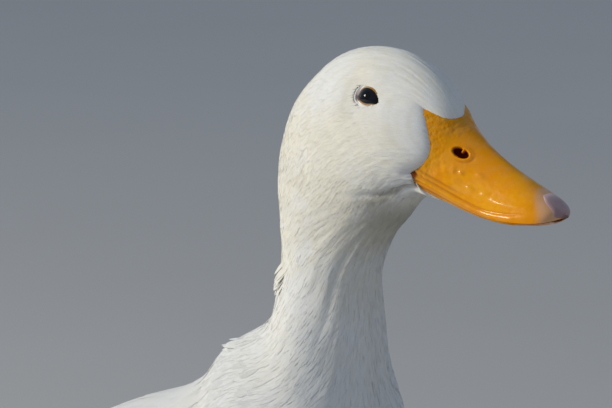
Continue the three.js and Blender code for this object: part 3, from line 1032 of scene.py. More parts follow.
class SurfaceField:
    """A surface of two parameters, held on a fine grid and read between its points.

    The first parameter runs down the rows, and the second goes round once in 2 pi.
    """

    def __init__(self, along: Array, points: Array, depth: Array, lit: Array) -> None:
        """Works out normals and steps.

        Args:
            along: the first parameter at each row, evenly spaced.
            points: points of shape (rows, columns, 3).
            depth: depth of the coat at each point.
            lit: how free of painted shade the plumage is at each point, from 0 to 1.
        """
        self.low, self.step = along[0], along[1] - along[0]
        self.high = along[-1]
        self.columns = points.shape[1]
        normals = surface_normals(points, ring=True)
        down = np.gradient(points, axis=0) / self.step
        ahead, behind = np.roll(points, -1, axis=1), np.roll(points, 1, axis=1)
        across = (ahead - behind) * self.columns / (2 * TURN)
        self.points, self.normals = points, normals
        stack = [points, normals, down, across, depth[..., None], lit[..., None]]
        self.channels = np.concatenate(stack, -1).astype(np.float32)

    def sample(self, along: Array, around: Array) -> Sample:
        """The surface at some places, by straight steps between grid points.

        Args:
            along: first parameters.
            around: second parameters, in radians, of the same shape.

        Returns:
            What the surface is like there.
        """
        x = np.clip((along - self.low) / self.step, 0, len(self.channels) - 1.001)
        y = (around / TURN * self.columns) % self.columns
        i, j = x.astype(int), y.astype(int)
        u, v = (x - i)[..., None], (y - j)[..., None]
        j, k = j % self.columns, (j + 1) % self.columns
        c = self.channels
        above = c[i, j] * (1 - v) + c[i, k] * v
        rows = above * (1 - u) + (c[i + 1, j] * (1 - v) + c[i + 1, k] * v) * u
        point, normal, along, around = (rows[..., n : n + 3] for n in (0, 3, 6, 9))
        return Sample(point, unit(normal), along, around, rows[..., 12], rows[..., 13])

    def heading(self, at: Sample, lean: Array) -> tuple[Array, Array]:
        """Changes of the two parameters for one millimetre toward the tail.

        The direction is against the rows, turned in the surface by a lean to the right of the
        normal's view. The changes come from the surface's two steps by Cramer's rule.

        Args:
            at: the surface at the places.
            lean: the turn in radians.

        Returns:
            Changes of the first and of the second parameter.
        """
        back = unit(-at.along)
        aside = np.cross(at.normal, back)
        way = back * np.cos(lean)[..., None] + aside * np.sin(lean)[..., None]
        aa, ab, bb = dot(at.along, at.along), dot(at.along, at.around), dot(at.around, at.around)
        wa, wb = dot(way, at.along), dot(way, at.around)
        whole = np.maximum(aa * bb - ab * ab, 1e-9)
        return (wa * bb - wb * ab) / whole, (wb * aa - wa * ab) / whole

    def scatter(self, count: int, density: Array, seed: int) -> tuple[Array, Array]:
        """Places spread over the surface, as thickly as a density says.

        An even spread of pairs goes through the running sum of area times density, first down
        the rows and then along the row.

        Args:
            count: how many places.
            density: wanted density at each grid point.
            seed: seed of the spread.

        Returns:
            First and second parameters of the places.
        """
        area = np.linalg.norm(np.cross(self.channels[..., 6:9], self.channels[..., 9:12]), axis=-1)
        weight = area * density + 1e-12
        rows = np.cumsum(weight.sum(1))
        pairs = spread_pairs(count, seed)
        x = np.interp(pairs[:, 0] * rows[-1], np.concatenate([[0], rows]), np.arange(len(rows) + 1))
        i = np.minimum(x.astype(int), len(rows) - 1)
        sums = np.cumsum(weight, axis=1)
        sums = sums / sums[:, -1:]
        flat = (sums + np.arange(len(sums))[:, None]).ravel()
        j = np.searchsorted(flat, i + pairs[:, 1]) - i * self.columns
        jitter = np.random.default_rng(seed + 1).uniform(0, 1, count)
        around = (np.clip(j, 0, self.columns - 1) + jitter - 0.5) / self.columns * TURN
        return self.low + np.minimum(x, len(rows) - 1) * self.step, around % TURN


@dataclass(frozen=True)
class EyePlace:
    """Place and opening of the eyes, in a frame square to the side of the head.

    The frame starts at the middle of the opening and runs forward, up along the head, and out.
    The middle and the outward direction are those of the left eye in the skull's frame.
    """

    radius: float = 7.0
    sunk: float = 5.6
    middle: tuple[float, float, float] = (-0.1, 20.4, -0.35)
    outward: tuple[float, float, float] = (-0.055, 0.93, 0.363)
    half_long: float = 5.6
    half_high: float = 4.1
    front_point: float = 1.5
    rear_point: float = 0.5

    def axes(self) -> Array:
        """The frame's axes as rows.

        Returns:
            The three axes.
        """
        out = unit(np.array(self.outward))
        ahead = unit(np.array([1.0, 0.0, 0.0]) - out * out[0])
        return np.stack([ahead, np.cross(ahead, out), out])

    def inside(self, points: Array) -> Array:
        """Points of the skull's frame in the nearer eye's frame."""
        left = points * np.where(points[..., 1:2] < 0, [1.0, -1.0, 1.0], 1.0)
        return (left - np.array(self.middle)) @ self.axes().T

    def place(self, points: Array, side: Side) -> Array:
        """Points of one eye's frame in the model's frame."""
        local = points @ self.axes() + np.array(self.middle)
        return SKULL.place(local * np.array([1.0, side.value, 1.0]))

    def opening(self, angle: Array) -> Array:
        """Distance from the eye's middle to the margin of the lids in a direction, 0 to the front.

        It is an ellipse, drawn out to a point in front and a little below behind.

        Args:
            angle: directions, 0 to the front and a quarter turn up.

        Returns:
            The distance in millimetres.
        """
        a, b = self.half_long, self.half_high
        oval = a * b / np.hypot(b * np.cos(angle), a * np.sin(angle))
        front = np.exp((np.cos(angle + 0.12) - 1) / 0.045)
        rear = np.exp((np.cos(angle + 2.65) - 1) / 0.05)
        return oval + self.front_point * front + self.rear_point * rear

    def ball(self, reach: Array) -> Array:
        """Height of the eyeball over the opening's plane, at a reach from its middle."""
        return np.sqrt(np.maximum(self.radius**2 - reach**2, 0.05)) - self.sunk

    def measure(self, points: Array) -> tuple[Array, Array]:
        """Reach and direction of points of the skull's frame from the nearer eye's middle.

        Args:
            points: the points.

        Returns:
            Reach and angle; points near the middle plane read as far away.
        """
        own = self.inside(points)
        far = 60 * (1 - smooth(np.abs(points[..., 1]), 8, 12))
        return np.hypot(own[..., 0], own[..., 1]) + far, np.arctan2(own[..., 1], own[..., 0])


EYE = EyePlace()


@dataclass(frozen=True)
class WingPlace:
    """Where a folded wing lies on the trunk: stations, and degrees from the back's middle."""

    shoulder: float = 11.35
    tip: float = 3.3
    upper: tuple[float, ...] = (76, 50, 37, 29, 23, 18, 14, 10)
    lower: tuple[float, ...] = (94, 120, 125, 123, 114, 99, 76, 42)
    thickness: float = 7.5
    thinning: float = 0.55

    def edges(self, share: Array) -> tuple[Array, Array]:
        """Angles of the upper and lower edges, in radians, at shares of the wing's length.

        Args:
            share: shares of the length.

        Returns:
            Upper and lower angles.
        """
        at = np.clip(share, 0, 1) * (len(self.upper) - 1)
        upper, lower = np.moveaxis(catmull_rom(np.transpose([self.upper, self.lower]), at), -1, 0)
        return np.radians(upper), np.radians(lower)

    def angle(self, share: Array, across: Array) -> Array:
        """Angle around the trunk at a share of the length and one across, 0 at the upper edge."""
        upper, lower = self.edges(share)
        return upper + (lower - upper) * across

    def bulge(self, station: Array, around: Array) -> Array:
        """How far the folded wing stands proud of the trunk, 0 off the wing.

        Args:
            station: stations.
            around: angles around.

        Returns:
            Height in millimetres.
        """
        share = (self.shoulder - station) / (self.shoulder - self.tip)
        upper, lower = self.edges(share)
        across = np.clip((folded(around) - upper) / np.maximum(lower - upper, 1e-3), 0, 1)
        arch = np.maximum(np.sin(np.pi * across), 0) ** 0.7
        length = smooth(share, 0, 0.16) * smooth(share, 1.02, 0.86)
        return self.thickness * (1 - self.thinning * np.clip(share, 0, 1)) * arch * length


WING = WingPlace()


@dataclass(frozen=True)
class FeatheredForm:
    """The outline of the feathered body from the tail to the bill.

    Stations hold the upper line (x, z), the lower line (x, z) and the half width; those of the
    head are measured from the point between the eyes.
    """

    trunk: Table = (
        (-273, 191, -275, 187, 20), (-258, 187, -266, 173, 34), (-237, 179, -247, 155, 41),
        (-213, 170, -224, 135, 43), (-189, 168, -200, 115, 45), (-161, 181, -170, 97, 54),
        (-126, 203, -133, 82, 68), (-84, 225, -88, 73, 80), (-42, 242, -38, 71, 86),
        (-6, 258, 18, 74, 88), (20, 267, 70, 91, 86), (36, 277, 112, 122, 79),
        (45.5, 290.3, 137, 163, 67), (66.5, 303.7, 142, 205, 52), (71.5, 319.2, 134, 243, 39),
    )
    head: Table = (
        (-58, -84, -7, -141, 30), (-58.2, -74, -10, -112, 26), (-59.8, -64, -11.5, -93, 24.8),
        (-61, -54, -7, -79, 25), (-62, -43, -1, -69, 26), (-60, -28, 5.5, -62, 26.8),
        (-54, -10, 9.5, -56.5, 27.2), (-43, 3.5, 13, -52.5, 27), (-29, 14.5, 16, -49.5, 26.5),
        (-12, 19.8, 18, -47.8, 26), (6, 19, 20, -46.6, 24.5), (20, 13.5, 22, -45.8, 22),
    )
    face_from: float = 25.0
    end: float = 27.0
    twist_from: float = 12.0
    twist_to: float = 19.0
    egg_from: float = 18.0
    egg_to: float = 23.0
    level: float = 0.38
    egg: float = 0.1
    edge_corners: tuple[float, ...] = (0, 57, 123, 180)
    edge_arcs: tuple[Table, ...] = (
        ((41.8, 0, 2.2), (40.7, 6.8, 1.2), (36.4, 11.2, 1.0), (27.8, 14.7, 2.6)),
        (
            (27.8, 14.7, 2.6), (34.0, 15.3, -7.4), (37.2, 15.6, -14.6), (36.2, 16.5, -21.2),
            (31.3, 17.6, -27.2),
        ),
        ((31.3, 17.6, -27.2), (35, 14.5, -34.5), (44, 8, -37.6), (50, 0, -38.4)),
    )
    brow_slip: float = 5.0
    face_leave: float = 1.0
    face_inward: float = 0.675
    face_forward: float = 0.45
    crease_path: Table = (
        (19.8, 20.4, 20.9, 22.05, 23.75, 26.35, 27), (96, 110, 123, 138, 146, 144, 127),
    )
    rows_per_station: int = 36
    columns: int = 720
    edge_blocks: int = 60
    bill_core: tuple[float, ...] = (50, 0, -22)
    edge_depth: float = 0.45
    mouth: tuple[float, ...] = (34, 0, -20)
    bill_axis: tuple[float, ...] = (70, 0, -9)
    coat_depth: Table = (
        (0, 2.5), (3, 4), (5, 6), (8, 8), (11, 7), (13, 4.4), (15, 2.8), (17, 2.4), (19, 2.0),
        (21, 1.6), (23, 1.3), (25, 1.1), (26, 0.8), (26.7, 0.55), (27, 0.25),
    )

    def outline(self, station: Array, around: Array) -> Array:
        """Points of the outline from the tail to the face.

        The middle of a section lies at a level between its lower and upper lines. A point is the
        middle plus the cosine of the angle times the arm to either line, and the sine times the
        half width; on the skull the crown is narrower than the cheeks.

        Args:
            station: stations.
            around: angles around.

        Returns:
            The points.
        """
        head = np.array(self.head) + [SKULL.eyes_x, SKULL.eyes_z, SKULL.eyes_x, SKULL.eyes_z, 0]
        rows = catmull_rom(np.vstack([self.trunk, head]), station)
        upper, lower = rows[..., 0:2], rows[..., 2:4]
        skull = smooth(station, self.egg_from, self.egg_to)
        middle = lower + (upper - lower) * (0.5 + (self.level - 0.5) * skull)[..., None]
        c, s = np.cos(around), np.sin(around)
        arm = np.where(c[..., None] > 0, upper - middle, middle - lower)
        flat = middle + arm * c[..., None]
        y = rows[..., 4] * s * (1 - self.egg * skull * c)
        turned = smooth(station, self.twist_from, self.twist_to)
        return SKULL.twist(np.stack([flat[..., 0], y, flat[..., 1]], -1), turned)

    def feather_edge(self, around: Array) -> Array:
        """The edge of the feathering on the bill: arcs over forehead, cheek and chin.

        Args:
            around: angles around.

        Returns:
            The points.
        """
        angle = np.degrees(folded(around))
        sign = np.where(around % TURN > np.pi, -1.0, 1.0)
        edge = np.zeros(around.shape + (3,))
        for arc, low, high in zip(self.edge_arcs, self.edge_corners, self.edge_corners[1:]):
            inside = (angle >= low - 1e-6) & (angle <= high + 1e-6)
            share = (angle[inside] - low) / (high - low)
            edge[inside] = catmull_rom(arc, share * (len(arc) - 1))
        edge[..., 1] *= sign
        signed = angle * sign
        slip = smooth(signed, -8, 24) * smooth(signed, 57, 34)
        edge[..., 0] -= self.brow_slip * slip
        edge[..., 2] += 0.5 * self.brow_slip * slip
        return SKULL.place(edge)

    def seated_edge(self, around: Array, bill: BillForm) -> Array:
        """The feather edge moved onto the nearest points of the bill and a little into it.

        Args:
            around: angles around, one for each column.
            bill: the bill.

        Returns:
            The points.
        """
        share, across = grid(np.linspace(0, 0.5, 260), np.linspace(-1, 1, 221))
        clouds = []
        for sheet in (bill.roof(share, across), bill.trough(share, across)):
            points = SKULL.place(sheet)
            inner = surface_normals(points, ring=False)
            inner *= -np.sign(dot(inner, points - SKULL.place(self.bill_core)))[..., None]
            clouds.append((points + self.edge_depth * inner).reshape(-1, 3))
        cloud = np.concatenate(clouds)
        edge = self.feather_edge(around)
        blocks = np.array_split(edge, self.edge_blocks)
        nearest = [np.argmin(((cloud - b[:, None]) ** 2).sum(-1), axis=1) for b in blocks]
        seated = cloud[np.concatenate(nearest)]
        kernel = np.array([1.0, 2, 3, 2, 1]) / 9
        wrapped = np.concatenate([seated[-2:], seated, seated[:2]])
        return sum(k * wrapped[i : i + len(seated)] for i, k in enumerate(kernel))

    def face(self, share: Array, around: Array, edge: Array) -> Array:
        """Points of the face, a cubic patch from the last section to the feather edge.

        It leaves along the outline and arrives inward and forward, as part of the way it spans.

        Args:
            share: shares of the way, one for each row.
            around: angles around, one for each column.
            edge: the feather edge, one point for each column.

        Returns:
            Points of shape (rows, columns, 3).
        """
        start = self.outline(np.full(around.shape, self.face_from), around)
        before = self.outline(np.full(around.shape, self.face_from - 0.01), around)
        span = np.linalg.norm(edge - start, axis=-1, keepdims=True)
        leave = unit(start - before) * self.face_leave * span
        mouth, axis = SKULL.place(self.mouth), SKULL.direction(self.bill_axis)
        arrive = (unit(mouth - edge) * self.face_inward + axis * self.face_forward) * span
        t = share[:, None, None]
        return (
            (2 * t**3 - 3 * t**2 + 1) * start
            + (t**3 - 2 * t**2 + t) * leave
            + (3 * t**2 - 2 * t**3) * edge
            + (t**3 - t**2) * arrive
        )

    def swept(self, station: Array, around: Array) -> Array:
        """Turns around, counted along the lie of the feathers."""
        return around / TURN - 0.055 * np.sin(around) * (station - 15)

    def crease(self, station: Array) -> tuple[Array, Array, Array]:
        """Angle, half width and strength of the crease under the cheek.

        Args:
            station: stations.

        Returns:
            Angle and half width in degrees, and strength from 0 to 1.
        """
        path = np.interp(station, *self.crease_path)
        width = np.interp(station, (20, 22, 25, 27), (6.5, 5, 3.6, 3))
        return path, width, smooth(station, 19.8, 22.5) * smooth(station, 27, 26.6)

    def lit(self, station: Array, around: Array, local: Array) -> Array:
        """How free of painted shade the plumage is: painted shade in the crease, on the throat and
        behind the eye.

        Args:
            station: stations of the grid.
            around: angles around.
            local: the grid's points in the skull's frame.

        Returns:
            Values from 0 to 1.
        """
        angle = np.degrees(folded(around))
        path, width, strength = self.crease(station)
        # painted shade in the crease under the cheek
        dim = 0.8 * strength * hump(angle, path, 0.9 * width)
        # painted shadow of the head, on the throat
        dim += 0.8 * hump(station, 20.6, 2.0) * smooth(angle, 112, 155)
        reach, angle = EYE.measure(local)
        # painted shade in the hollow behind the eye
        dim += 0.22 * hump(reach, 10.5, 2.5) * smooth(-np.cos(angle - 0.3), 0.2, 0.8)
        swept = self.swept(station, around)
        # darker streaks along the lie: partly random tone, partly painted shade between clumps of
        # feathers
        streaks = lattice_noise(station * 0.8, swept, 60, seed=15)
        streaks = streaks + lattice_noise(station * 1.6, swept, 150, seed=16)
        streaks = 0.08 * np.clip(streaks + 0.6, 0, 2) * smooth(station, 11, 14)
        return 1 - np.clip(dim, 0, 0.8) - streaks

    def relief(self, station: Array, around: Array, local: Array) -> Array:
        """Folds and swells of the plumage, added along the normal.

        A crease runs back from the gape under the cheek, with a soft one behind the cheek. The
        eyes lie in shallow hollows under a low brow. Long soft furrows follow the lie of the
        feathers on the neck and breast, and fine ones on the head. The folded wings swell.

        Args:
            station: stations of the grid.
            around: angles around.
            local: the grid's points in the skull's frame.

        Returns:
            The relief in millimetres.
        """
        angle = np.degrees(folded(around))
        path, width, strength = self.crease(station)
        fold = hump(angle, path, width) - 0.5 * hump(angle, path + 2.6 * width, 2 * width)
        relief = -1.9 * strength * fold
        rear = np.interp(station, (19.8, 21.2), (80, 60))
        relief -= 0.45 * hump(angle, rear, 5) * hump(station, 20.5, 0.7)
        reach, _ = EYE.measure(local)
        relief -= 0.75 * hump(reach, 0, 9.5)
        brow = hump(np.hypot(local[..., 0] + 1, (local[..., 2] - 8.5) * 1.6), 0, 8)
        relief += 0.55 * brow * smooth(np.abs(local[..., 1]), 8, 13)
        turns, swept = around / TURN, self.swept(station, around)
        neck = smooth(station, 11.2, 13.2) * smooth(station, 20.4, 18.6)
        head = smooth(station, 18.5, 20.5) * smooth(station, 26.8, 25.5) * smooth(reach, 8, 13)
        relief += 0.42 * neck * lattice_noise(station * 0.62, swept, 36, seed=11)
        relief += 0.14 * neck * lattice_noise(station * 1.1, swept, 96, seed=12)
        relief += 0.12 * head * lattice_noise(station * 1.3, turns, 130, seed=13)
        relief += 0.7 * smooth(station, 13, 11.4) * lattice_noise(station * 1.2, turns, 22, seed=14)
        return relief + WING.bulge(station, around) * 0.9

    def depth(self, station: Array, local: Array) -> Array:
        """Depth of the coat: deep on the trunk, thin on the face, next to nothing at the lids.

        Args:
            station: stations of the grid.
            local: the grid's points in the skull's frame.

        Returns:
            Depth in millimetres.
        """
        knots = np.array(self.coat_depth)
        deep = np.interp(station, knots[:, 0], knots[:, 1])
        reach, _ = EYE.measure(local)
        return np.minimum(deep, 0.35 + 0.9 * smooth(reach, 6, 13) + 9 * smooth(reach, 12, 30))

    def build(self, bill: BillForm) -> SurfaceField:
        """Works the whole form out on its grid.

        Args:
            bill: the bill that the face closes on.

        Returns:
            The form with its relief.
        """
        along = np.linspace(0, self.end, int(self.end * self.rows_per_station) + 1)
        around = np.arange(self.columns) / self.columns * TURN
        body = along[along <= self.face_from + 1e-9]
        share = (along[len(body):] - self.face_from) / (self.end - self.face_from)
        face = self.face(share, around, self.seated_edge(around, bill))
        points = np.concatenate([self.outline(*round_grid(body, self.columns)), face])
        station, angle = round_grid(along, self.columns)
        local = SKULL.local(points)
        raised = self.relief(station, angle, local)
        points = points + surface_normals(points, ring=True) * raised[..., None]
        lit = self.lit(station, angle, local)
        return SurfaceField(along, points, self.depth(station, local), lit)


# ---- bill
@dataclass(frozen=True)
class Bill:
    """Upper and lower mandibles and the nail, with nostrils and rolled lips."""

    form: BillForm = BillForm()
    rows: int = 250
    roof_columns: int = 200
    roof_core: tuple[float, ...] = (60, 0, -22)
    trough_core: tuple[float, ...] = (60, 0, -20)
    lower_rows: int = 150
    lower_columns: int = 90
    inner_columns: int = 24
    nostril: Pair = (50.0, -11.6)
    nostril_half: Pair = (4.15, 2.15)
    nostril_tilt: float = np.radians(-9.0)
    nostril_depth: float = 3.8
    lip: float = 2.3
    wrinkles: Table = (
        (50.0, 12.8, 1.5, 1.4, 0.5), (54.2, 13.7, 1.4, 1.0, 0.46), (61.0, 9.4, 2.2, 1.0, 0.38),
        (63.2, 16.6, 2.4, 1.1, 0.46), (46.5, 10.5, 1.8, 1.6, 0.2), (69.0, 10.2, 2.0, 1.1, 0.16),
    )
    nail_from: float = 0.725
    nail_half: float = 7.6
    nail_thick: float = 0.55
    nail_round: float = 0.42
    nail_grid: tuple[int, int] = (64, 56)
    nail_core: tuple[float, ...] = (92, 0, -28)
    nail_down: tuple[float, ...] = (0.25, 0, -1)

    def nostril_place(self, local: Array) -> tuple[Array, Array]:
        """Places along and across the nostril's long axis, as shares of its half sizes."""
        x, z = turned(*np.moveaxis(local[..., ::2] - self.nostril, -1, 0), -self.nostril_tilt)
        return x / self.nostril_half[0], z / self.nostril_half[1]

    def roof_relief(
        self, local: Array, from_edge: Array, from_feathers: Array, run: Array
    ) -> tuple[Array, dict[str, Array]]:
        """Nostrils, lips and folds of the upper mandible.

        The nostril is an oval pit with a raised rim, a furrow round the rim and a short bar that
        hangs into it from above. The lip is a roll along the edge with one furrow above it, and
        near the gape a second roll and furrow.

        Args:
            local: the roof's points in the skull's frame.
            from_edge: distance to the cutting edge along the section.
            from_feathers: distance to the feather edge.
            run: distance along the section from the right edge.

        Returns:
            The relief in millimetres, and masks for the finish.
        """
        along, across = self.nostril_place(local)
        oval = np.hypot(along, across)
        bar = hump(along, 0.08, 0.2) * smooth(across, -0.25, 0.55)
        pit = smooth(oval, 1.02, 0.8) * (1 - 0.85 * bar)
        relief = -self.nostril_depth * pit
        front = smooth(along, -0.4, 0.9)
        relief += 0.2 * hump(oval, 1.16, 0.13) * (0.4 + 0.6 * front)
        relief -= 0.3 * hump(oval, 1.62, 0.16) * front * smooth(across, 0.9, -0.2)
        x = local[..., 0]
        gape = smooth(x, 66, 44)
        tip = smooth(x, 96, 86)
        lip = self.lip + 1.8 * smooth(x, 68, 90)
        roll = np.sin(np.pi * np.clip(from_edge / lip, 0, 1))
        furrow = hump(from_edge, lip + 0.45, 0.42) * (0.35 + 0.65 * smooth(x, 88, 55))
        second = hump(from_edge, self.lip + 2.7, 0.5) * gape
        uneven = lattice_noise(x * 0.28, run / 400 + 0.5, 40, seed=23)
        relief += 0.42 * roll * tip * (1 + 0.3 * uneven) - 0.5 * furrow * tip
        relief += 0.3 * hump(from_edge, self.lip + 1.5, 0.6) * gape - 0.34 * second
        relief += 0.5 * hump(x, 52, 16) * hump(local[..., 2], -18, 7)
        shoulder = smooth(x, 38, 50) * smooth(x, 98, 84)
        relief += 0.35 * hump(from_edge, 8.2, 2.0) * shoulder
        dimple = lattice_noise(x * 0.5, run / 80 + 0.5, 60, seed=22)
        relief += 0.06 * dimple * shoulder * smooth(from_edge, 2.5, 5) * smooth(from_edge, 20, 12)
        for middle, high, long_, wide, swell in self.wrinkles:
            relief += swell * hump(x + 0.35 * dimple, middle, long_) * hump(from_edge, high, wide)
        cheek = hump(x, 45, 9) * smooth(from_edge, 3, 6) * smooth(from_edge, 19, 15)
        relief += 0.22 * cheek * lattice_noise(x * 0.3, run / 130 + 0.5, 44, seed=24)
        folds = np.sin(local[..., 2] * 1.9 + 1.2 * np.sin(x * 0.7)) * smooth(from_feathers, 6, 1.5)
        relief += 0.09 * folds
        tall = local[..., 2] / 60 + 0.5 + np.sign(local[..., 1]) * 0.25
        grain = lattice_noise(x * 0.9, tall, 55, seed=21)
        relief += 0.17 * grain * smooth(from_feathers, 11, 3) * (1 - smooth(oval, 2.2, 1.5))
        corner = np.linalg.norm(np.abs(local) - [32.0, 17.4, 28.2], axis=-1)
        high = smooth(local[..., 2], -14, -2)
        # browner toward the feathers; the term on the top near the base is painted shade
        base = 0.85 * smooth(from_feathers, 5.5, 0.3) + 0.45 * smooth(from_feathers, 17, 3) * high
        masks = {
            # painted shade: dark mask over the nostril pit and the gape corner
            "dark": np.clip(smooth(pit, 0.18, 0.75) + 0.9 * smooth(corner, 3.2, 1.2), 0, 1),
            "base": np.clip(base, 0, 1),
            "tip": smooth(np.hypot(x - 103, local[..., 1]), 14.5, 10.5),
            # painted shade in the lip furrows and round the nostril
            "groove": np.clip(furrow * tip + second + 0.6 * front * hump(oval, 1.6, 0.2), 0, 1),
        }
        return relief, masks

    def upper(self, edge: Array) -> Shell:
        """The upper mandible, closed by a vaulted palate, with the feather edge over its base.

        Args:
            edge: the feather edge.

        Returns:
            The shell.
        """
        density = 1 + 1.4 * hump(np.linspace(0, 1, 400), 0.29, 0.085)
        passed = np.concatenate([[0], np.cumsum(density)])
        share = np.interp(np.linspace(0, passed[-1], self.rows), passed, np.linspace(0, 1, 401))
        across = np.linspace(-1, 1, self.roof_columns)
        local = self.form.roof(*grid(share, across))
        points = SKULL.place(local)
        steps = np.linalg.norm(np.diff(points, axis=1), axis=-1)
        run = np.concatenate([np.zeros((self.rows, 1)), np.cumsum(steps, axis=1)], axis=1)
        from_edge = np.minimum(run, run[:, -1:] - run)
        from_feathers = distances(points, edge)
        normals = facing(points, SKULL.place(self.roof_core))
        relief, masks = self.roof_relief(local, from_edge, from_feathers, run)
        top = points + normals * (relief * smooth(share, 1.0, 0.97)[:, None])[..., None]
        inner = np.linspace(1, -1, self.inner_columns + 2)[1:-1]
        palate_share, palate_across = grid(share, inner)
        rows = self.form.lines(palate_share)
        vault = 1 - palate_across**2
        y, z = rows[..., 6] * palate_across * 0.97, rows[..., 3] + vault * 1.5
        palate = np.stack([rows[..., 2], y, z], -1)
        return tube_shell(np.concatenate([top, SKULL.place(palate)], axis=1), **masks)

    def lower(self, edge: Array) -> Shell:
        """The lower mandible: a shallow trough with rolled rims, closed on top.

        Args:
            edge: the feather edge.

        Returns:
            The shell.
        """
        share, across = grid(
            np.linspace(0, self.form.lower_end, self.lower_rows),
            np.linspace(-1, 1, self.lower_columns),
        )
        local = self.form.trough(share, across)
        points = SKULL.place(local)
        normals = facing(points, SKULL.place(self.trough_core))
        rim = hump(np.abs(across), 0.93, 0.08)
        furrow = hump(np.abs(across), 0.76, 0.06)
        relief = (0.3 * rim - 0.3 * furrow) * smooth(share, self.form.lower_end, 0.75)
        points = points + normals * relief[..., None]
        inner = np.linspace(1, -1, 22)[1:-1]
        top_share, top_across = grid(share[:, 0], inner)
        rows = self.form.lines(top_share)
        half = rows[..., 6] * self.form.lower_share
        dip = (1 - top_across**2) * 1.0
        top = np.stack([rows[..., 2], half * top_across, rows[..., 3] - self.form.gap - dip], -1)
        # painted shade in the lower mandible's furrow
        shell = tube_shell(np.concatenate([points, SKULL.place(top)], axis=1), groove=furrow)
        shell.masks |= {
            "dark": np.zeros(len(shell.points)),
            "base": 0.7 * smooth(distances(shell.points, edge), 5, 0.5),
            "tip": smooth(SKULL.local(shell.points)[:, 0], 86, 93),
        }
        return shell

    def nail(self) -> Shell:
        """The nail: a raised shield over the tip, hooked a little over the edge.

        Its half width grows from a rounded rear border. Each point lies on the roof where the
        section is as wide as wanted, lifted by a thickness that falls to the borders.

        Returns:
            The shell.
        """
        rows, columns = self.nail_grid
        share, across = grid(np.linspace(0, 1, rows), np.linspace(-1, 1, columns))
        along = self.nail_from + (1 - self.nail_from) * share
        lines = self.form.lines(along)
        round_ = np.sqrt(np.clip(1 - (1 - share / self.nail_round) ** 2, 0.0004, 1))
        half = self.nail_half * np.where(share < self.nail_round, round_, 1.0)
        reach = np.minimum(np.abs(across) * half / lines[..., 6], 0.93)
        power = np.maximum(lines[..., 7], 0.05)
        angle = np.arcsin(reach ** (1 / power)) / (np.pi / 2)
        local = self.form.roof(along, np.sign(across) * angle ** (1 / np.clip(1 / power, 1, 3)))
        hook = smooth(share, 0.72, 1.0)
        points = SKULL.place(local)
        normals = facing(points, SKULL.place(self.nail_core))
        border = np.minimum(1 - np.abs(across), share * 1.6)
        thick = self.nail_thick * smooth(border, 0.0, 0.3) - 0.12
        down = SKULL.direction(self.nail_down)
        top = points + normals * thick[..., None] + down * (0.9 * hook)[..., None]
        under = points - normals * 0.7 + down * (0.7 * hook)[..., None]
        # painted highlight along the border and the rear of the nail
        pale = np.clip(0.75 * smooth(border, 0.2, 0.02) + 0.55 * hump(share, 0.12, 0.14), 0, 1)
        point = 0.8 * smooth(share, 0.82, 1.0)
        pale, point = both_sides(pale, pale), both_sides(point, point)
        return tube_shell(both_sides(top, under), pale=pale, point=point)

    def build(self, finishes: Finishes, edge: Array) -> None:
        """Makes the bill's three pieces.

        Args:
            finishes: the materials.
            edge: the feather edge.
        """
        make_piece("bill_upper_skin", self.upper(edge), finishes.bill, "bill", ("bill_upper",))
        make_piece("bill_lower_skin", self.lower(edge), finishes.bill, "bill", ("bill_lower",))
        make_piece("bill_nail_shield", self.nail(), finishes.nail, "bill_nail", ("bill_nail",))


def both_sides(top: Array, under: Array) -> Array:
    """Rings that run along the rows of one sheet and back along those of another."""
    return np.concatenate([top, under[:, ::-1]], axis=1)


def distances(points: Array, others: Array) -> Array:
    """Distance from each point to the nearest of some others."""
    return np.sqrt(((points[..., None, :] - others) ** 2).sum(-1).min(-1))


# ---- eyes
@dataclass(frozen=True)
class Eyeball:
    """One eyeball, its pole outward, with a cornea that stands a little proud."""

    side: Side
    rows: int = 56
    columns: int = 72
    cornea: float = 0.35

    def build(self, finishes: Finishes) -> None:
        """Makes the eyeball.

        Args:
            finishes: the materials.
        """
        polar, turn = round_grid(np.linspace(0.02, np.pi - 0.02, self.rows), self.columns)
        reach = EYE.radius * np.sin(polar)
        out = EYE.radius * np.cos(polar) - EYE.sunk
        out = out + self.cornea * hump(reach, 0, 3.3) * (polar < np.pi / 2)
        own = np.stack([reach * np.cos(turn), reach * np.sin(turn), out], -1)
        shell = tube_shell(EYE.place(own, self.side))
        shown = np.where(polar < np.pi / 2, reach, 9.0)
        shell.masks["reach"] = np.concatenate([shown.ravel(), [0.0, 9.0]])
        spokes = np.stack([np.abs(turn / TURN - 0.5) * 2, reach * 0.012], -1).reshape(-1, 2)
        shell.maps["Spokes"] = np.concatenate([spokes, [[0.0, 0.0], [0.0, 0.0]]])
        name = f"eyeball_{self.side.label}"
        make_piece(name, shell, finishes.eye, "eye", (f"eye_{self.side.label}",))


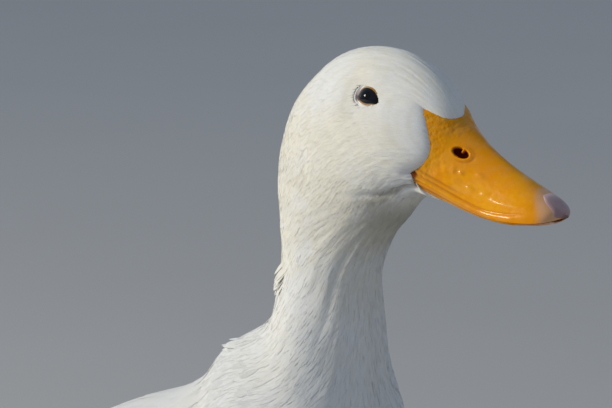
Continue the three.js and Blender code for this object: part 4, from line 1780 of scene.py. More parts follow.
@dataclass(frozen=True)
class Lids:
    """The bare skin round one eye: a lid margin on the eyeball, and a furrow behind and below."""

    side: Side
    rows: int = 34
    columns: int = 144
    reach: float = 10.5
    thickness: float = 1.1

    @staticmethod
    def terms(p: Array, q: Array) -> Array:
        """The terms 1, p, q, p^2, pq and q^2 of a second-order surface."""
        return np.stack([np.ones_like(p), p, q, p * p, p * q, q * q], -1)

    def shell(self, form: SurfaceField) -> Shell:
        """A ring that follows the eyeball inside and dips under the feathers outside.

        The height over the opening's plane goes from the ball to the head's own surface, taken as
        a second-order surface through nearby points of the form, with a bead at the margin and a
        furrow round the rear and below.

        Args:
            form: the feathered form.

        Returns:
            The shell.
        """
        local = SKULL.local(form.points)
        own = EYE.inside(local)
        near = np.hypot(own[..., 0], own[..., 1]) < 13
        near &= local[..., 1] * self.side.value > 8
        a, b, y = own[near].T
        fit = np.linalg.lstsq(self.terms(a, b), y, rcond=None)[0]
        share, angle = round_grid(np.linspace(0, 1, self.rows) ** 1.5, self.columns)
        margin = EYE.opening(angle)
        reach = margin - 0.45 + (self.reach - margin + 0.45) * share
        past = reach - margin
        x, z = reach * np.cos(angle), reach * np.sin(angle)
        head = self.terms(x, z) @ fit
        ball = EYE.ball(np.minimum(reach, EYE.radius - 0.4)) + 0.15
        behind = np.clip(0.35 - np.cos(angle - 0.55), 0, 1)
        height = ball + (head - 0.4 - ball) * smooth(past, 0.1, 1.7)
        height += 0.30 * hump(past, 0.25, 0.34)
        wrinkle = 0.12 * np.sin(past * 3.1 + 1.5 * np.cos(angle * 3)) * smooth(past, 0.8, 1.6)
        height += wrinkle * behind - 0.34 * hump(past, 2.3, 0.3) * behind
        height -= 0.18 * hump(past, 1.0, 0.25)
        height -= 1.3 * smooth(past, 2.7, 4.6)
        top = np.stack([x, z, height], -1)
        under = top - np.array([0.0, 0.0, self.thickness])
        points = EYE.place(np.concatenate([top, under[::-1]]), self.side).reshape(-1, 3)
        shell = Shell(points, [grid_polygons(2 * self.rows, self.columns, torus=True)])
        rim = smooth(past, 0.5, 0.2) * (0.7 + 0.3 * np.sin(angle + 0.3) ** 2)
        # painted shade: the fold mask lies on the furrows and the rear of the margin
        fold = behind * (hump(past, 2.3, 0.3) + 0.7 * smooth(past, 0.4, -0.1))
        fold = fold + 0.2 * hump(past, 1.0, 0.25)
        corner = hump(past, 0.1, 0.8) * (
            smooth(np.cos(angle - 0.02), 0.965, 0.995) + smooth(np.cos(angle + 2.65), 0.93, 0.99)
        )
        masks = {"bare": smooth(past, 4.6, 3.4), "rim": rim, "fold": fold, "corner": corner}
        # painted shade on the part of the lids that feathers cover
        masks["lit"] = np.full(reach.shape, 0.8)
        shell.masks = {
            k: np.clip(np.concatenate([v, v[::-1]]).ravel(), 0, 1) for k, v in masks.items()
        }
        return outward(shell)


# ---- skin
@dataclass(frozen=True)
class Thigh:
    """One feathered thigh, a tapering tube from the hip to the hock."""

    side: Side
    hip: Pair = (-32, 122)
    hock: Pair = (-58, 61)
    aside: float = 42.0
    sizes: Table = ((38, 25), (24, 19), (13.5, 12), (8.2, 6.8))
    coat: float = 3.2
    rows: int = 60
    columns: int = 96

    def field(self) -> SurfaceField:
        """The thigh's surface, from 0 at the hock to 1 at the hip.

        Returns:
            The surface.
        """
        along = np.linspace(0, 1, self.rows)
        around = np.arange(self.columns) / self.columns * TURN
        hip, hock = np.array(self.hip, float), np.array(self.hock, float)
        axis = (hip - hock) / np.linalg.norm(hip - hock)
        size = catmull_rom(self.sizes[::-1], along * (len(self.sizes) - 1))
        line = hock + (hip - hock) * along[:, None]
        c, s = np.cos(around), np.sin(around) * self.side.value
        deep = size[:, 0, None] * c
        x = line[:, 0, None] - axis[1] * deep + SKULL.shift
        z = line[:, 1, None] + axis[0] * deep
        y = self.side.value * self.aside + size[:, 1, None] * s
        points = np.stack([x, y, z], -1)
        out = points - points.mean(1, keepdims=True)
        if dot(surface_normals(points, ring=True), out).sum() <= 0:
            points = points[:, ::-1]
        deep = np.minimum(self.coat, 0.9 + 5 * along)[:, None] * np.ones(self.columns)
        return SurfaceField(along, points, deep, np.ones_like(deep))

    def shell(self) -> Shell:
        """The thigh's skin, under its coat.

        Returns:
            The shell.
        """
        form = self.field()
        points = form.points - form.normals * form.channels[..., 12:13]
        return tube_shell(points)


@dataclass(frozen=True)
class Skin:
    """The one skin over tail, trunk, neck and head, with the thighs and the bare lids."""

    form: SurfaceField
    tail_rows: int = 96
    neck_rows: int = 60
    head_rows: int = 150
    columns: int = 216
    socket: float = 3.8
    mouth: tuple[float, ...] = (36, 0, -19)

    @staticmethod
    def covered(shell: Shell) -> Shell:
        """A shell with the masks of skin that feathers cover.

        Args:
            shell: a closed shell.

        Returns:
            The same shell.
        """
        blank = np.zeros(len(shell.points))
        # painted shade: skin under the feathers is darkened through the lit mask
        shell.masks = {k: blank for k in ("bare", "rim", "fold", "corner")} | {"lit": blank + 0.7}
        return shell

    def body(self) -> Shell:
        """The skin at the coat's depth, sunk behind the eyes and closed inside the bill.

        Returns:
            The shell.
        """
        stations = np.concatenate([
            np.linspace(0, 13, self.tail_rows, endpoint=False),
            np.linspace(13, 19, self.neck_rows, endpoint=False),
            np.linspace(19, 27, self.head_rows),
        ])
        at = self.form.sample(*round_grid(stations, self.columns))
        points = at.point - at.normal * at.depth[..., None]
        local = SKULL.local(points)
        reach, _ = EYE.measure(local)
        sunk = self.socket * smooth(reach, 8.2, 5.8)
        local[..., 1] -= np.sign(local[..., 1]) * sunk
        points = SKULL.place(local)
        mouth = SKULL.place(self.mouth)
        inner = points[-1:] + (mouth - points[-1:]) * 0.35
        shell = self.covered(tube_shell(np.concatenate([points, inner]), mouth))
        # painted shade: the skin takes the form's painted shade, darkened further under the coat
        shell.masks["lit"][: at.lit.size] = 0.8 * at.lit.ravel()
        return shell

    def build(self, finishes: Finishes) -> None:
        """Makes the skin.

        Args:
            finishes: the materials.
        """
        thighs = [self.covered(Thigh(side).shell()) for side in Side]
        lids = [Lids(side).shell(self.form) for side in Side]
        flesh = ("tail", "trunk", "neck_lower", "neck_upper", "head", "thigh_left", "thigh_right")
        whole = self.body().joined(*lids, *thighs)
        make_piece("skin", whole, finishes.skin, "head_feathers", flesh)


# ---- feathers
@dataclass(frozen=True)
class Blade:
    """The closed shape of one tuft or vane.

    The section is a ring of (across, lift), from the right margin over the shaft to the left
    margin and back underneath. It is carried along rows of (share of the length, share of the
    width) and closed to a point.
    """

    section: Table
    rows: Table

    def shares(self) -> Array:
        """Shares of the length at the rings and the tip."""
        return np.append([row[0] for row in self.rows], 1.0)

    def polygons(self) -> list[Array]:
        """Polygons of one blade: sides, tip and root.

        Returns:
            Corners of the sides, tip and root.
        """
        rings, ring = len(self.rows), len(self.section)
        tip = rings * ring
        last = tip - ring
        j = np.arange(ring)
        sides = np.concatenate([
            np.stack([i + j, i + (j + 1) % ring, i + ring + (j + 1) % ring, i + ring + j], -1)
            for i in range(0, last, ring)
        ])
        point = np.stack([last + j, last + (j + 1) % ring, np.full(ring, tip)], -1)
        return [sides, point, j[None, ::-1]]


TUFT = Blade(((1, 0), (0, 1), (-1, 0)), ((0, 0.6), (0.35, 1.0), (0.72, 0.8)))
LOCK = Blade(((1, 0), (0, 1), (-1, 0)), ((0, 0.5), (0.3, 1.0), (0.62, 0.95), (0.86, 0.6)))
SMALL_VANE = Blade(
    ((1, 0), (0.45, 0.75), (0, 1.0), (-0.45, 0.75), (-1, 0), (0, -0.2)),
    ((0, 0.45), (0.25, 0.85), (0.55, 1.0), (0.78, 0.92), (0.93, 0.6)),
)
LARGE_VANE = Blade(
    ((1, 0), (0.5, 0.55), (0.1, 0.75), (0, 1.5), (-0.1, 0.75), (-0.5, 0.55), (-1, 0), (0, -0.3)),
    (
        (0, 0.3), (0.12, 0.7), (0.28, 0.92), (0.45, 1.0), (0.6, 1.0), (0.74, 0.96),
        (0.85, 0.84), (0.93, 0.62), (0.98, 0.36),
    ),
)


@dataclass
class Plume:
    """Many blades of one shape, laid on a form.

    Each row of the paths holds one blade's places on the form, one for each ring and the tip.
    Lifts are heights over the form, in millimetres. Roll raises the right margin over the left.
    """

    form: SurfaceField
    blade: Blade
    along: Array
    around: Array
    lifts: Array
    width: Array
    thick: Array
    lit: Array
    roll: float = 0.0
    # painted shade: share of a blade's brightness left at its root
    root_lit: float = 0.6
    map_width: float = 0.003

    def shell(self) -> Shell:
        """All the blades as one shell.

        A ring's points are its place on the form, plus the surface normal times lift and shaft
        height, plus the direction across times the half width. Each blade is one small patch of
        the bake map, at its root's place on the form.

        Returns:
            The shell, with sharp margins.
        """
        at = self.form.sample(self.along, self.around)
        centre = at.point + at.normal * self.lifts[..., None]
        way = unit(np.gradient(centre, axis=1))
        aside = unit(np.cross(at.normal, way))
        count = len(self.along)
        rows, section = np.array(self.blade.rows), np.array(self.blade.section)
        half = self.width[:, None] * rows[:, 1] / 2
        across = half[..., None] * section[:, 0]
        raised = self.thick[:, None, None] * np.sqrt(rows[:, 1])[:, None] * section[:, 1]
        raised = raised + across * self.roll
        rings = (
            centre[:, :-1, None]
            + aside[:, :-1, None] * across[..., None]
            + at.normal[:, :-1, None] * raised[..., None]
        )
        points = np.concatenate([rings.reshape(count, -1, 3), centre[:, -1:]], axis=1)
        size = points.shape[1]
        starts = (np.arange(count) * size)[:, None, None]
        faces = self.blade.polygons()
        polygons = [(face[None] + starts).reshape(-1, face.shape[1]) for face in faces]
        share = np.concatenate([np.repeat(rows[:, 0], len(section)), [1.0]])
        aside_share = np.concatenate([np.tile(section[:, 0], len(rows)), [0.0]])
        patch = np.stack([(share - 0.5) * self.map_width, aside_share * self.map_width / 2], -1)
        root = np.stack([
            (self.along[:, 0] - self.form.low) / (self.form.high - self.form.low),
            (self.around[:, 0] / TURN) % 1.0,
        ], -1)
        root = np.clip(root, self.map_width, 1 - self.map_width)
        bake = (root[:, None] + patch[None]).reshape(-1, 2)
        vane = np.broadcast_to(np.stack([aside_share / 2 + 0.5, share], -1), (count, size, 2))
        # painted shade toward each blade's root, times the blade's lit value
        lit = self.lit[:, None] * (self.root_lit + (1 - self.root_lit) * share**0.6)
        margin = np.concatenate([np.tile(np.abs(section[:, 0]) == 1, len(rows)), [True]])
        lie = np.repeat(at.normal[:, :-1], len(section), axis=1)
        lie = np.concatenate([lie, at.normal[:, -1:]], axis=1)
        return Shell(
            points.reshape(-1, 3),
            polygons,
            {"lit": np.clip(lit, 0, 1).ravel()},
            {"OFBake": bake, "Vane": vane.reshape(-1, 2)},
            np.tile(margin, count),
            lie.reshape(-1, 3),
        )


@dataclass(frozen=True)
class Growth:
    """One kind of feather grown over part of a form.

    Sizes are given at stations, in millimetres, and are read between them. Low and high are the
    lifts over the skin at the root and the tip, as shares of the coat's depth; sunk is how much
    lower some lie, and no root lies much deeper under the outline than the deepest.
    """

    name: str
    slot: str
    blade: Blade
    count: int
    stations: tuple[float, ...]
    density: tuple[float, ...]
    length: tuple[float, ...]
    width: tuple[float, ...]
    thick: float = 0.2
    low: float = 0.15
    high: float = 1.0
    lean: float = 0.0
    unruly: float = 0.1
    uneven: float = 0.05
    sunk: float = 0.1
    deepest: float = 1.6
    # painted shade: share of the brightness left at the roots
    root_lit: float = 0.85
    eye_room: float = 12.0
    parts: int = 2
    seed: int = 1

    def weights(self, form: SurfaceField) -> Array:
        """Wanted density over the form's grid, none at the eyes and the wings' undersides.

        Args:
            form: the feathered form.

        Returns:
            The density at each grid point.
        """
        rows = form.low + np.arange(len(form.points)) * form.step
        dense = np.interp(rows, self.stations, self.density, left=0, right=0)
        local = SKULL.local(form.points)
        reach, angle = EYE.measure(local)
        rear = np.clip(0.35 - np.cos(angle - 0.55), 0, 1)
        clear = EYE.opening(angle) + 0.55 + 1.5 * rear
        return dense[:, None] * (reach > clear)

    def lean_at(self, along: Array, around: Array) -> Array:
        """How far the feathers turn toward the back, in radians."""
        return self.lean * np.sin(around) * smooth(along, 10.5, 13.5) * smooth(along, 20.5, 17.5)

    def plume(self, form: SurfaceField, span: Pair = (0.0, TURN)) -> Plume:
        """Grows the feathers.

        Each path steps down the form in the direction of lie, found anew at each ring. Near an
        eye the feathers shorten, so that none reaches over the lids.

        Args:
            form: the form they grow on.
            span: angles around between which they are kept.

        Returns:
            The blades.
        """
        along, around = form.scatter(self.count, self.weights(form), self.seed)
        kept = (around >= span[0]) & (around < span[1])
        along, around = along[kept], around[kept]
        random = np.random.default_rng(self.seed + 7)
        size = random.uniform(0.8, 1.2, len(along))
        length = np.interp(along, self.stations, self.length) * size
        width = np.interp(along, self.stations, self.width) * random.uniform(0.85, 1.15, len(along))
        turn = random.normal(0, self.unruly, len(along))
        lift = random.uniform(-1, 1, len(along)) * self.uneven
        sunk = random.uniform(0, 1, len(along)) ** 2 * self.sunk
        start = form.sample(along, around)
        local = SKULL.local(start.point)
        reach, angle = EYE.measure(local)
        room = reach - EYE.opening(angle)
        toward = np.clip(np.cos(angle), 0, 1) ** 0.5
        short = np.minimum(length, 0.3 + 0.9 * room + 1.3 * (1 - toward))
        length = np.where(room < self.eye_room, short, length)
        shares = self.blade.shares()
        path = np.empty((len(along), len(shares), 2))
        path[:, 0] = np.stack([along, around], -1)
        at = start
        for k in range(1, len(shares)):
            here = path[:, k - 1]
            lean = self.lean_at(here[:, 0], here[:, 1]) + turn
            ds, da = form.heading(at, lean)
            step = length * (shares[k] - shares[k - 1])
            path[:, k, 0] = np.clip(here[:, 0] + ds * step, form.low, form.high)
            path[:, k, 1] = here[:, 1] + da * step
            at = form.sample(path[:, k, 0], path[:, k, 1])
        depth = form.sample(path[..., 0], path[..., 1]).depth
        rise = self.low + (self.high + lift[:, None] - self.low) * shares**0.8
        edge = smooth(path[..., 0], 26.2, 26.9)
        seat = 0.3 * smooth(shares, 0.0, 0.4) - 0.15 + 0.5 * lift[:, None]
        drop = depth * (1 - rise + sunk[:, None])
        lifts = -drop / (1 + np.abs(drop) / self.deepest) * (1 - edge) + edge * seat
        return Plume(
            form, self.blade, path[..., 0], path[..., 1], lifts, width,
            np.full(len(along), self.thick) * np.minimum(1, width / np.mean(width)),
            # random tone for each blade, times the form's painted shade
            random.uniform(0.88, 1.0, len(along)) * start.lit, root_lit=self.root_lit,
        )

    def build(self, form: SurfaceField, material: Material) -> None:
        """Makes the pieces, each over an equal part of the turn around.

        Args:
            form: the feathered form.
            material: the finish.
        """
        for k in range(self.parts):
            span = (TURN * k / self.parts, TURN * (k + 1) / self.parts)
            make_piece(f"{self.name}_{k + 1}", self.plume(form, span).shell(), material, self.slot)


BODY_GROWTHS = (
    Growth(
        "coat_head", "head_feathers", TUFT, 32000, stations=(18.4, 19.4, 22, 24, 25.5, 26.6, 27),
        density=(0.3, 1.0, 1.2, 1.6, 2.4, 5.0, 9.0), length=(9, 8, 6.2, 4.8, 3.8, 2.4, 1.5),
        width=(1.3, 1.2, 1.0, 0.85, 0.75, 0.6, 0.5), thick=0.09, low=0.7, lean=0.5,
        unruly=0.09, uneven=0.05, sunk=0.12, root_lit=0.92, parts=4, seed=101,
    ),
    Growth(
        "coat_neck", "head_feathers", TUFT, 23500, stations=(12.0, 13.2, 15, 17, 19.6),
        density=(0.4, 1, 1.2, 1.3, 0.8), length=(17, 16, 14, 12, 9.5),
        width=(2.2, 1.8, 1.45, 1.3, 1.25), thick=0.1, low=0.86, lean=0.62, unruly=0.08,
        uneven=0.04, sunk=0.12, root_lit=0.92, seed=202,
    ),
    Growth(
        "coat_breast", "body_feathers", SMALL_VANE, 3100, stations=(8.5, 10, 12, 13.2),
        density=(0.5, 1, 1.4, 1.4), length=(26, 24, 20, 17), width=(12, 10, 7, 5),
        thick=0.22, low=0.87, high=0.985, lean=0.3, unruly=0.1, uneven=0.02, sunk=0.07, seed=303,
    ),
    Growth(
        "coat_body", "body_feathers", SMALL_VANE, 3300, stations=(0.6, 1.6, 2.5, 5, 9.2),
        density=(2.0, 1.6, 1.3, 1, 0.8), length=(11, 17, 22, 26, 27),
        width=(9.5, 10.5, 11.5, 13, 12),
        thick=0.35, low=0.8, high=0.98, unruly=0.08, uneven=0.03, sunk=0.08, seed=404,
    ),
)
THIGH_GROWTH = Growth(
    "coat_thigh", "body_feathers", TUFT, 2200, stations=(0.03, 0.3, 1.0), density=(1.8, 1.2, 0.7),
    length=(9, 14, 18), width=(2.0, 2.6, 3.2), thick=0.16, low=0.75, unruly=0.1, deepest=0.9,
    seed=505,
)


@dataclass(frozen=True)
class Ruffle:
    """A few feathers that stand out from the hind neck and the shoulders."""

    places: Table = (
        (15.5, -46), (15.4, -42), (15.55, -49), (15.35, -45), (15.3, -42), (12.4, -11),
    )
    each: int = 18
    spread: Pair = (0.05, 3.0)
    length: float = 8.2
    raised: float = 2.6
    roll: float = -0.1
    thick: float = 0.12
    seed: int = 606

    def build(self, form: SurfaceField, material: Material) -> None:
        """Makes the piece.

        Args:
            form: the feathered form.
            material: the finish.
        """
        random = np.random.default_rng(self.seed)
        roots = np.repeat(np.array(self.places), self.each, axis=0)
        roots = roots + random.normal(0, 1, roots.shape) * self.spread
        count = len(roots)
        shares = LOCK.shares()
        around = np.radians(roots[:, 1])
        at = form.sample(roots[:, 0], around)
        ds, da = form.heading(at, random.normal(0, 0.14, count) + 0.85 * np.sin(around))
        high = random.uniform(0.0, 1.0, count)
        length = self.length * (1.3 - 0.45 * high)
        path_s = roots[:, :1] + (ds * length)[:, None] * shares
        path_a = around[:, None] + (da * length)[:, None] * shares
        lifts = -1.2 + (1.2 + self.raised * high)[:, None] * shares**1.1
        width = random.uniform(2.2, 3.4, count)
        plume = Plume(
            form, LOCK, path_s, path_a, lifts, width, np.full(count, self.thick),
            random.uniform(0.9, 1.0, count), roll=self.roll, root_lit=0.95,
        )
        make_piece("coat_ruffles", plume.shell(), material, "body_feathers")


@dataclass(frozen=True)
class FeatherRow:
    """A row of overlapping vanes on a folded wing, from its upper edge to its lower one.

    Root and tip hold (share of the wing's length, share across) at the row's two ends; lifts are
    heights over the form in millimetres at the root and the tip.
    """

    count: int
    root: tuple[Pair, Pair]
    tip: tuple[Pair, Pair]
    width: Pair
    lifts: Pair
    thick: float = 0.9
    roll: float = 0.03
    blade: Blade = LARGE_VANE


@dataclass(frozen=True)
class Wing:
    """The feathers of one folded wing: coverts, tertials, secondaries and primaries."""

    side: Side
    covert_rows: int = 9
    covert_from: float = 0.02
    covert_span: float = 0.255
    covert_lengths: Pair = (0.10, 0.05)
    seed: int = 700
    rows: tuple[FeatherRow, ...] = (
        FeatherRow(9, ((0.7, 0.06), (0.6, 0.8)), ((0.985, 0.3), (0.9, 0.62)),
                   (19, 17), (-4.6, -1.4)),
        FeatherRow(13, ((0.46, 0.4), (0.34, 0.97)), ((0.8, 0.6), (0.6, 0.97)),
                   (24, 19), (-4.2, -0.9)),
        FeatherRow(6, ((0.42, 0.05), (0.44, 0.36)), ((0.84, 0.12), (0.8, 0.52)),
                   (30, 27), (-3.6, -0.2)),
        FeatherRow(13, ((0.3, 0.2), (0.24, 0.95)), ((0.5, 0.28), (0.42, 0.97)),
                   (22, 18), (-3.4, -0.2)),
    )

    def row_shell(self, form: SurfaceField, row: FeatherRow, seed: int) -> Shell:
        """The vanes of one row, whose small differences come from a seed.

        Args:
            form: the feathered form.
            row: the row.
            seed: seed of its small differences.

        Returns:
            The shell.
        """
        random = np.random.default_rng(seed)
        step = np.linspace(0, 1, row.count)
        root = np.array(row.root[0]) + np.subtract(row.root[1], row.root[0]) * step[:, None]
        tip = np.array(row.tip[0]) + np.subtract(row.tip[1], row.tip[0]) * step[:, None]
        tip = tip + random.normal(0, 0.006, tip.shape)
        shares = row.blade.shares()
        line = root[:, None] + (tip - root)[:, None] * shares[None, :, None]
        bow = 0.02 * np.sin(np.pi * shares)
        along = WING.shoulder - line[..., 0] * (WING.shoulder - WING.tip)
        around = WING.angle(line[..., 0], np.clip(line[..., 1] + bow, 0, 1.04)) * self.side.value
        low, high = row.lifts
        order = 0.5 * (1 - step)[:, None]
        lifts = low + (high - low) * shares[None] ** 0.75 + order
        width = row.width[0] + (row.width[1] - row.width[0]) * step
        return Plume(
            form, row.blade, along, around, lifts, width, np.full(row.count, row.thick),
            random.uniform(0.92, 1.0, row.count), roll=row.roll * self.side.value,
        ).shell()

    def covert_shells(self, form: SurfaceField) -> list[Shell]:
        """Small coverts over the shoulder, row after row.

        Args:
            form: the feathered form.

        Returns:
            One shell for each row.
        """
        shells = []
        for k in range(self.covert_rows):
            start = self.covert_from + self.covert_span * k / (self.covert_rows - 1)
            length = self.covert_lengths[0] + self.covert_lengths[1] * k / (self.covert_rows - 1)
            row = FeatherRow(
                10 + k, ((start, 0.04), (start - 0.01, 0.96)),
                ((start + length, 0.05), (start + length, 0.97)), (12 + k, 11 + k),
                (-4.0, 0.1), thick=0.6, roll=0.02, blade=SMALL_VANE,
            )
            shells.append(self.row_shell(form, row, self.seed + k))
        return shells

    def build(self, form: SurfaceField, material: Material) -> None:
        """Makes the wing's pieces.

        Args:
            form: the feathered form.
            material: the finish.
        """
        label = self.side.label
        rows = [self.row_shell(form, row, self.seed + 20 + k) for k, row in enumerate(self.rows)]
        groups = {
            f"primaries_vanes_{label}": (rows[:1], (f"primaries_{label}",)),
            f"wing_vanes_{label}": (rows[1:] + self.covert_shells(form), (f"wing_{label}",)),
        }
        for name, (shells, nodes) in groups.items():
            make_piece(name, shells[0].joined(*shells[1:]), material, "wing_feathers", nodes)


@dataclass(frozen=True)
class Tail:
    """The tail's long vanes, spread as a low fan."""

    pairs: int = 9
    root: float = 5.4
    middle_tip: float = 0.05
    outer_tip: float = 1.1
    spread: float = 88.0
    width: float = 21.0
    thick: float = 0.8
    low: float = -4.5
    rise: float = 2.6
    stacked: float = 1.6
    seed: int = 808

    def shell(self, form: SurfaceField) -> Shell:
        """The vanes, the middle pair on top.

        Args:
            form: the feathered form.

        Returns:
            The shell.
        """
        turn = np.linspace(-1, 1, 2 * self.pairs)
        order = np.argsort(-np.abs(turn))
        turn = turn[order]
        shares = LARGE_VANE.shares()
        tips = self.middle_tip + (self.outer_tip - self.middle_tip) * np.abs(turn) ** 1.5
        along = self.root + (tips - self.root)[:, None] * shares
        fan = 0.55 + 0.45 * shares
        around = np.radians(self.spread * turn)[:, None] * fan
        over = self.stacked * (1 - np.abs(turn))[:, None]
        lifts = self.low + self.rise * shares[None] ** 0.7 + over
        count = len(turn)
        random = np.random.default_rng(self.seed)
        return Plume(
            form, LARGE_VANE, along, around, lifts, np.full(count, self.width),
            np.full(count, self.thick), random.uniform(0.93, 1.0, count),
        ).shell()

    def build(self, form: SurfaceField, material: Material) -> None:
        """Makes the tail's piece."""
        make_piece("tail_vanes", self.shell(form), material, "tail_feathers")


# ---- legs
@dataclass(frozen=True)
class Leg:
    """One bare leg: a scaled shank, a webbed foot with a small hind toe, and its claws."""

    side: Side
    aside: float = 42.0
    hock: Pair = (-58, 61)
    toe_joint: Pair = (-22, 7)
    shank_sizes: Table = ((7, 5.6), (5.2, 4.3), (4.6, 4), (4.8, 4.4), (6, 5.6))
    hub: tuple[float, float, float] = (9.5, 7.2, 7.4)
    toes: tuple[float, ...] = (-27, 0, 27)
    lengths: tuple[float, ...] = (61, 75, 63)
    joints: tuple[float, ...] = (0.3, 0.55, 0.78)
    web_edge: float = 4.0
    web_dip: float = 6.0
    web: float = 1.8
    toe_height: float = 8.4
    toe_half: float = 4.6
    inward: float = np.radians(3)
    claw: float = 9.0
    claw_half: float = 1.75
    plate: float = 3.6
    hind_ends: tuple[Pair, Pair] = ((-26, 8), (-43.5, 2.9))
    hind_sizes: Table = ((3.4, 3.2), (2.9, 2.6), (1.4, 1.3))
    hind_plate: float = 2.6

    def placed(self, points: Array) -> Array:
        """Points of a left leg in its own plane, turned inward and set on this side.

        Args:
            points: the points.

        Returns:
            The points.
        """
        x, y = turned(points[..., 0] - self.toe_joint[0], points[..., 1], -self.inward)
        x, y = x + self.toe_joint[0] + SKULL.shift, (self.aside + y) * self.side.value
        return np.stack([x, y, points[..., 2]], -1)

    def limb(self, start: tuple, end: tuple, sizes: tuple, rows: int, plates: float) -> Shell:
        """A tapering round limb between two points of the leg's plane, plated in front.

        A ring is the point on the axis plus cosine times half depth and sine times half width.

        Args:
            start: upper end (x, z).
            end: lower end (x, z).
            sizes: half depths and half widths along the limb.
            rows: rings.
            plates: length of one of the plates, which swell between furrows across the front.

        Returns:
            The shell.
        """
        share, turn = round_grid(np.linspace(0, 1, rows), 64)
        axis = np.subtract(end, start)
        length = np.hypot(*axis)
        axis = axis / length
        size = catmull_rom(sizes, share * (len(sizes) - 1))
        front = smooth(np.cos(turn), 0.1, 0.75)
        plate = np.abs(np.sin(np.pi * share * length / plates)) ** 0.5 - 0.7
        grow = 1 + 0.055 * plate * front
        deep, wide = size[..., 0] * np.cos(turn) * grow, size[..., 1] * np.sin(turn) * grow
        x = start[0] + axis[0] * share * length - axis[1] * deep
        z = start[1] + axis[1] * share * length + axis[0] * deep
        return tube_shell(self.placed(np.stack([x, wide, z], -1)), web=1 - front)

    def foot(self) -> Shell:
        """Three toes with the webs between them, flat underneath.

        The height is the web's, plus over each toe a round ridge that falls toward the claw and
        swells at the joints, crossed by small plates. The web's free edge dips between the toes.

        Returns:
            The shell.
        """
        limit = self.toes[2] + self.web_edge
        share, degrees = grid(np.linspace(0, 1, 110), np.linspace(-limit, limit, 141))
        part = np.clip(np.abs(degrees) / self.toes[2], 0, 1)
        outer = np.where(degrees < 0, self.lengths[0], self.lengths[2])
        reach = self.lengths[1] + (outer - self.lengths[1]) * part
        reach = reach - self.web_dip * np.sin(np.pi * part) ** 0.5
        reach = 3 + (reach - 3) * share
        angle = np.radians(degrees)
        ridge = np.zeros(share.shape)
        for toe in self.toes:
            off = reach * np.abs(np.sin(np.radians(degrees - toe)))
            slim = self.toe_half * (1 - reach / 200)
            round_ = np.sqrt(np.clip(1 - (off / slim) ** 2, 0, 1))
            swell = sum(hump(share, joint, 0.045) for joint in self.joints)
            plate = np.abs(np.sin(np.pi * reach / 3.1)) ** 0.5 - 0.6
            tall = self.toe_height * (1 - reach / 115) - self.web
            ridge = np.maximum(ridge, round_ * (tall * (0.93 + 0.12 * swell) + 0.28 * plate))
        fine = 0.16 * np.sin(angle * 90 + 1.5 * np.sin(reach * 0.21)) * smooth(reach, 14, 30)
        claw = 1 - 0.75 * smooth(share, 0.86, 1)
        height = (self.web + ridge + fine * (ridge < 0.1)) * claw
        x = self.toe_joint[0] + reach * np.cos(angle)
        y = reach * np.sin(angle)
        top = np.stack([x, y, height], -1)
        under = np.stack([x, y, 0.05 + 0 * height], -1)
        web = np.clip(1 - ridge / 1.5, 0, 1)
        return tube_shell(self.placed(both_sides(top, under)), web=both_sides(web, web))

    def knuckle(self) -> Shell:
        """The round joint that the toes spread from, level with the floor underneath.

        Returns:
            The shell.
        """
        polar, turn = round_grid(np.linspace(0.03, np.pi - 0.03, 40), 56)
        ahead = np.sin(polar) * np.clip(np.cos(turn), 0, 1)
        x = self.toe_joint[0] + self.hub[0] * (np.sin(polar) * np.cos(turn) + 0.9 * ahead)
        y = self.hub[1] * np.sin(polar) * np.sin(turn) * (1 + 0.2 * ahead)
        z = np.maximum(self.toe_joint[1] + self.hub[2] * np.cos(polar) - 1.5 * ahead, 0.05)
        return tube_shell(self.placed(np.stack([x, y, z], -1)), web=0 * z)

    def claws(self) -> Shell:
        """Four blunt claws, curved down a little.

        Returns:
            The shell.
        """
        shells = []
        share, turn = round_grid(np.linspace(0, 1, 22), 20)
        tips = [(np.radians(t), n + 0.6, 3.0) for t, n in zip(self.toes, self.lengths)]
        tips.append((np.pi, -self.toe_joint[0] - 22 + 25.5, 2.6))
        for angle, reach, tall in tips:
            small = 0.78 if angle == np.pi else 1.0
            run = reach - self.claw * small * (1 - share)
            size = np.sqrt(np.clip(1 - share**1.7, 0.004, 1)) * small
            off = self.claw_half * size * np.sin(turn)
            z = self.claw_half * size * np.cos(turn) + 0.15
            z = tall * small * (1 - 0.62 * share**1.6) + z
            x = self.toe_joint[0] + run * np.cos(angle) - off * np.sin(angle)
            y = run * np.sin(angle) + off * np.cos(angle)
            points = self.placed(np.stack([x, y, np.maximum(z, 0.05)], -1))
            shells.append(tube_shell(points, point=smooth(share, 0.2, 1.0)))
        return shells[0].joined(*shells[1:])

    def build(self, finishes: Finishes) -> None:
        """Makes the leg's pieces.

        Args:
            finishes: the materials.
        """
        label = self.side.label
        shank = self.limb(self.hock, self.toe_joint, self.shank_sizes, 150, self.plate)
        make_piece(f"shank_skin_{label}", shank, finishes.legs, "leg_skin", (f"shank_{label}",))
        hind = self.limb(*self.hind_ends, self.hind_sizes, 60, self.hind_plate)
        foot = self.foot().joined(self.knuckle(), hind)
        nodes = (f"foot_{label}", f"hind_toe_{label}")
        make_piece(f"foot_skin_{label}", foot, finishes.legs, "leg_skin", nodes)
        make_piece(f"claws_{label}", self.claws(), finishes.claw, "leg_skin")


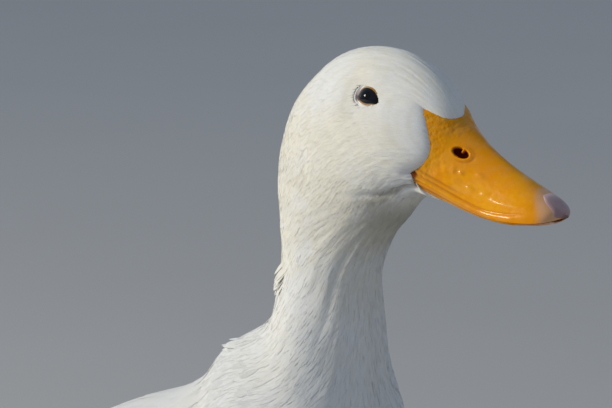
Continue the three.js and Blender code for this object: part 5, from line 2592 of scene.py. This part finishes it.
# ---- studio
@dataclass(frozen=True)
class Studio:
    """A pale floor, warm soft light from the viewer's left, cool fill, and the camera."""

    azimuth: float = np.radians(20.0)
    elevation: float = np.radians(10.0)
    distance: float = 2000.0
    aim: tuple[float, ...] = (0, -20.5, 0)
    aside: float = 28.65
    below: float = 50.56
    sensor: float = 36.0
    focal: float = 252.94
    floor: float = 60.0
    key_azimuth: float = np.radians(-74.0)
    key_elevation: float = np.radians(19.0)
    key_distance: float = 3.0
    key_sizes: tuple[float, ...] = (1.0, 0.12)
    key_powers: tuple[float, ...] = (50.0, 20.0)
    key_colour: Colour = (1.0, 0.945, 0.83)
    fill_colour: Colour = (0.64, 0.78, 1.0)
    fill_strength: float = 0.38

    def basis(self, azimuth: float, elevation: float) -> tuple[Array, Array, Array]:
        """Right, up and backward directions of a viewer at an azimuth and elevation.

        Args:
            azimuth: angle round the duck.
            elevation: angle over the horizon.

        Returns:
            The three directions.
        """
        flat = np.cos(elevation)
        back = np.array([np.sin(azimuth) * flat, -np.cos(azimuth) * flat, np.sin(elevation)])
        right = np.array([np.cos(azimuth), np.sin(azimuth), 0.0])
        return right, np.cross(back, right), back

    def posed(self, thing: bpy.types.Object, basis: tuple[Array, Array, Array], at: Array) -> None:
        """Links an object and points it along a viewer's line.

        Args:
            thing: a camera or light.
            basis: right, up and backward directions.
            at: its place, in metres.
        """
        bpy.context.scene.collection.objects.link(thing)
        turn = Matrix([[float(v[k]) for v in basis] for k in range(3)])
        thing.matrix_world = Matrix.Translation(Vector(at.tolist())) @ turn.to_4x4()

    def build(self, finishes: Finishes) -> None:
        """Makes floor, lights and camera.

        Args:
            finishes: the materials.
        """
        bpy.ops.mesh.primitive_plane_add(size=self.floor)
        floor = bpy.context.object
        floor.name = "studio_floor"
        floor.data.materials.append(finishes.floor)
        eye = SKULL.place(self.aim)
        right, up, back = basis = self.basis(self.azimuth, self.elevation)
        lens = bpy.data.cameras.new("viewer")
        lens.sensor_width, lens.lens = self.sensor, self.focal
        lens.clip_start, lens.clip_end = 0.05, 200.0
        camera = bpy.data.objects.new("viewer", lens)
        place = eye - right * self.aside - up * self.below + back * self.distance
        self.posed(camera, basis, place * METRES)
        bpy.context.scene.camera = camera
        sideways, height = np.sin(self.key_azimuth), np.sin(self.key_elevation)
        toward = right * sideways * np.cos(self.key_elevation) + up * height
        toward = toward + back * np.cos(self.key_azimuth) * np.cos(self.key_elevation)
        key = (unit(np.cross(up, toward)), unit(np.cross(toward, np.cross(up, toward))), toward)
        for size, power in zip(self.key_sizes, self.key_powers):
            light = bpy.data.lights.new("key", "AREA")
            light.shape, light.size = "DISK", size
            light.energy, light.color = power, self.key_colour
            place = eye * METRES + toward * self.key_distance
            self.posed(bpy.data.objects.new("key", light), key, place)
        world = bpy.data.worlds.new("studio_air")
        world.use_nodes = True
        air = world.node_tree.nodes["Background"]
        air.inputs["Color"].default_value = (*self.fill_colour, 1.0)
        air.inputs["Strength"].default_value = self.fill_strength
        bpy.context.scene.world = world
        bpy.context.scene.view_settings.view_transform = "Standard"


def main() -> None:
    """Builds the duck and its studio."""
    logging.basicConfig(level=logging.INFO, format="%(message)s")
    finishes = Finishes.built()
    bill = Bill()
    form = FeatheredForm().build(bill.form)
    bill.build(finishes, form.points[-1, ::6])
    for side in Side:
        Eyeball(side).build(finishes)
    Skin(form).build(finishes)
    for growth in BODY_GROWTHS:
        growth.build(form, finishes.vane if growth.blade is SMALL_VANE else finishes.coat)
    Ruffle().build(form, finishes.coat)
    Tail().build(form, finishes.vane)
    for side in Side:
        Wing(side).build(form, finishes.vane)
        Leg(side).build(finishes)
        thigh = THIGH_GROWTH.plume(Thigh(side).field()).shell()
        make_piece(f"coat_thigh_{side.label}", thigh, finishes.coat, "body_feathers")
    Studio().build(finishes)


if __name__ == "__main__":
    main()
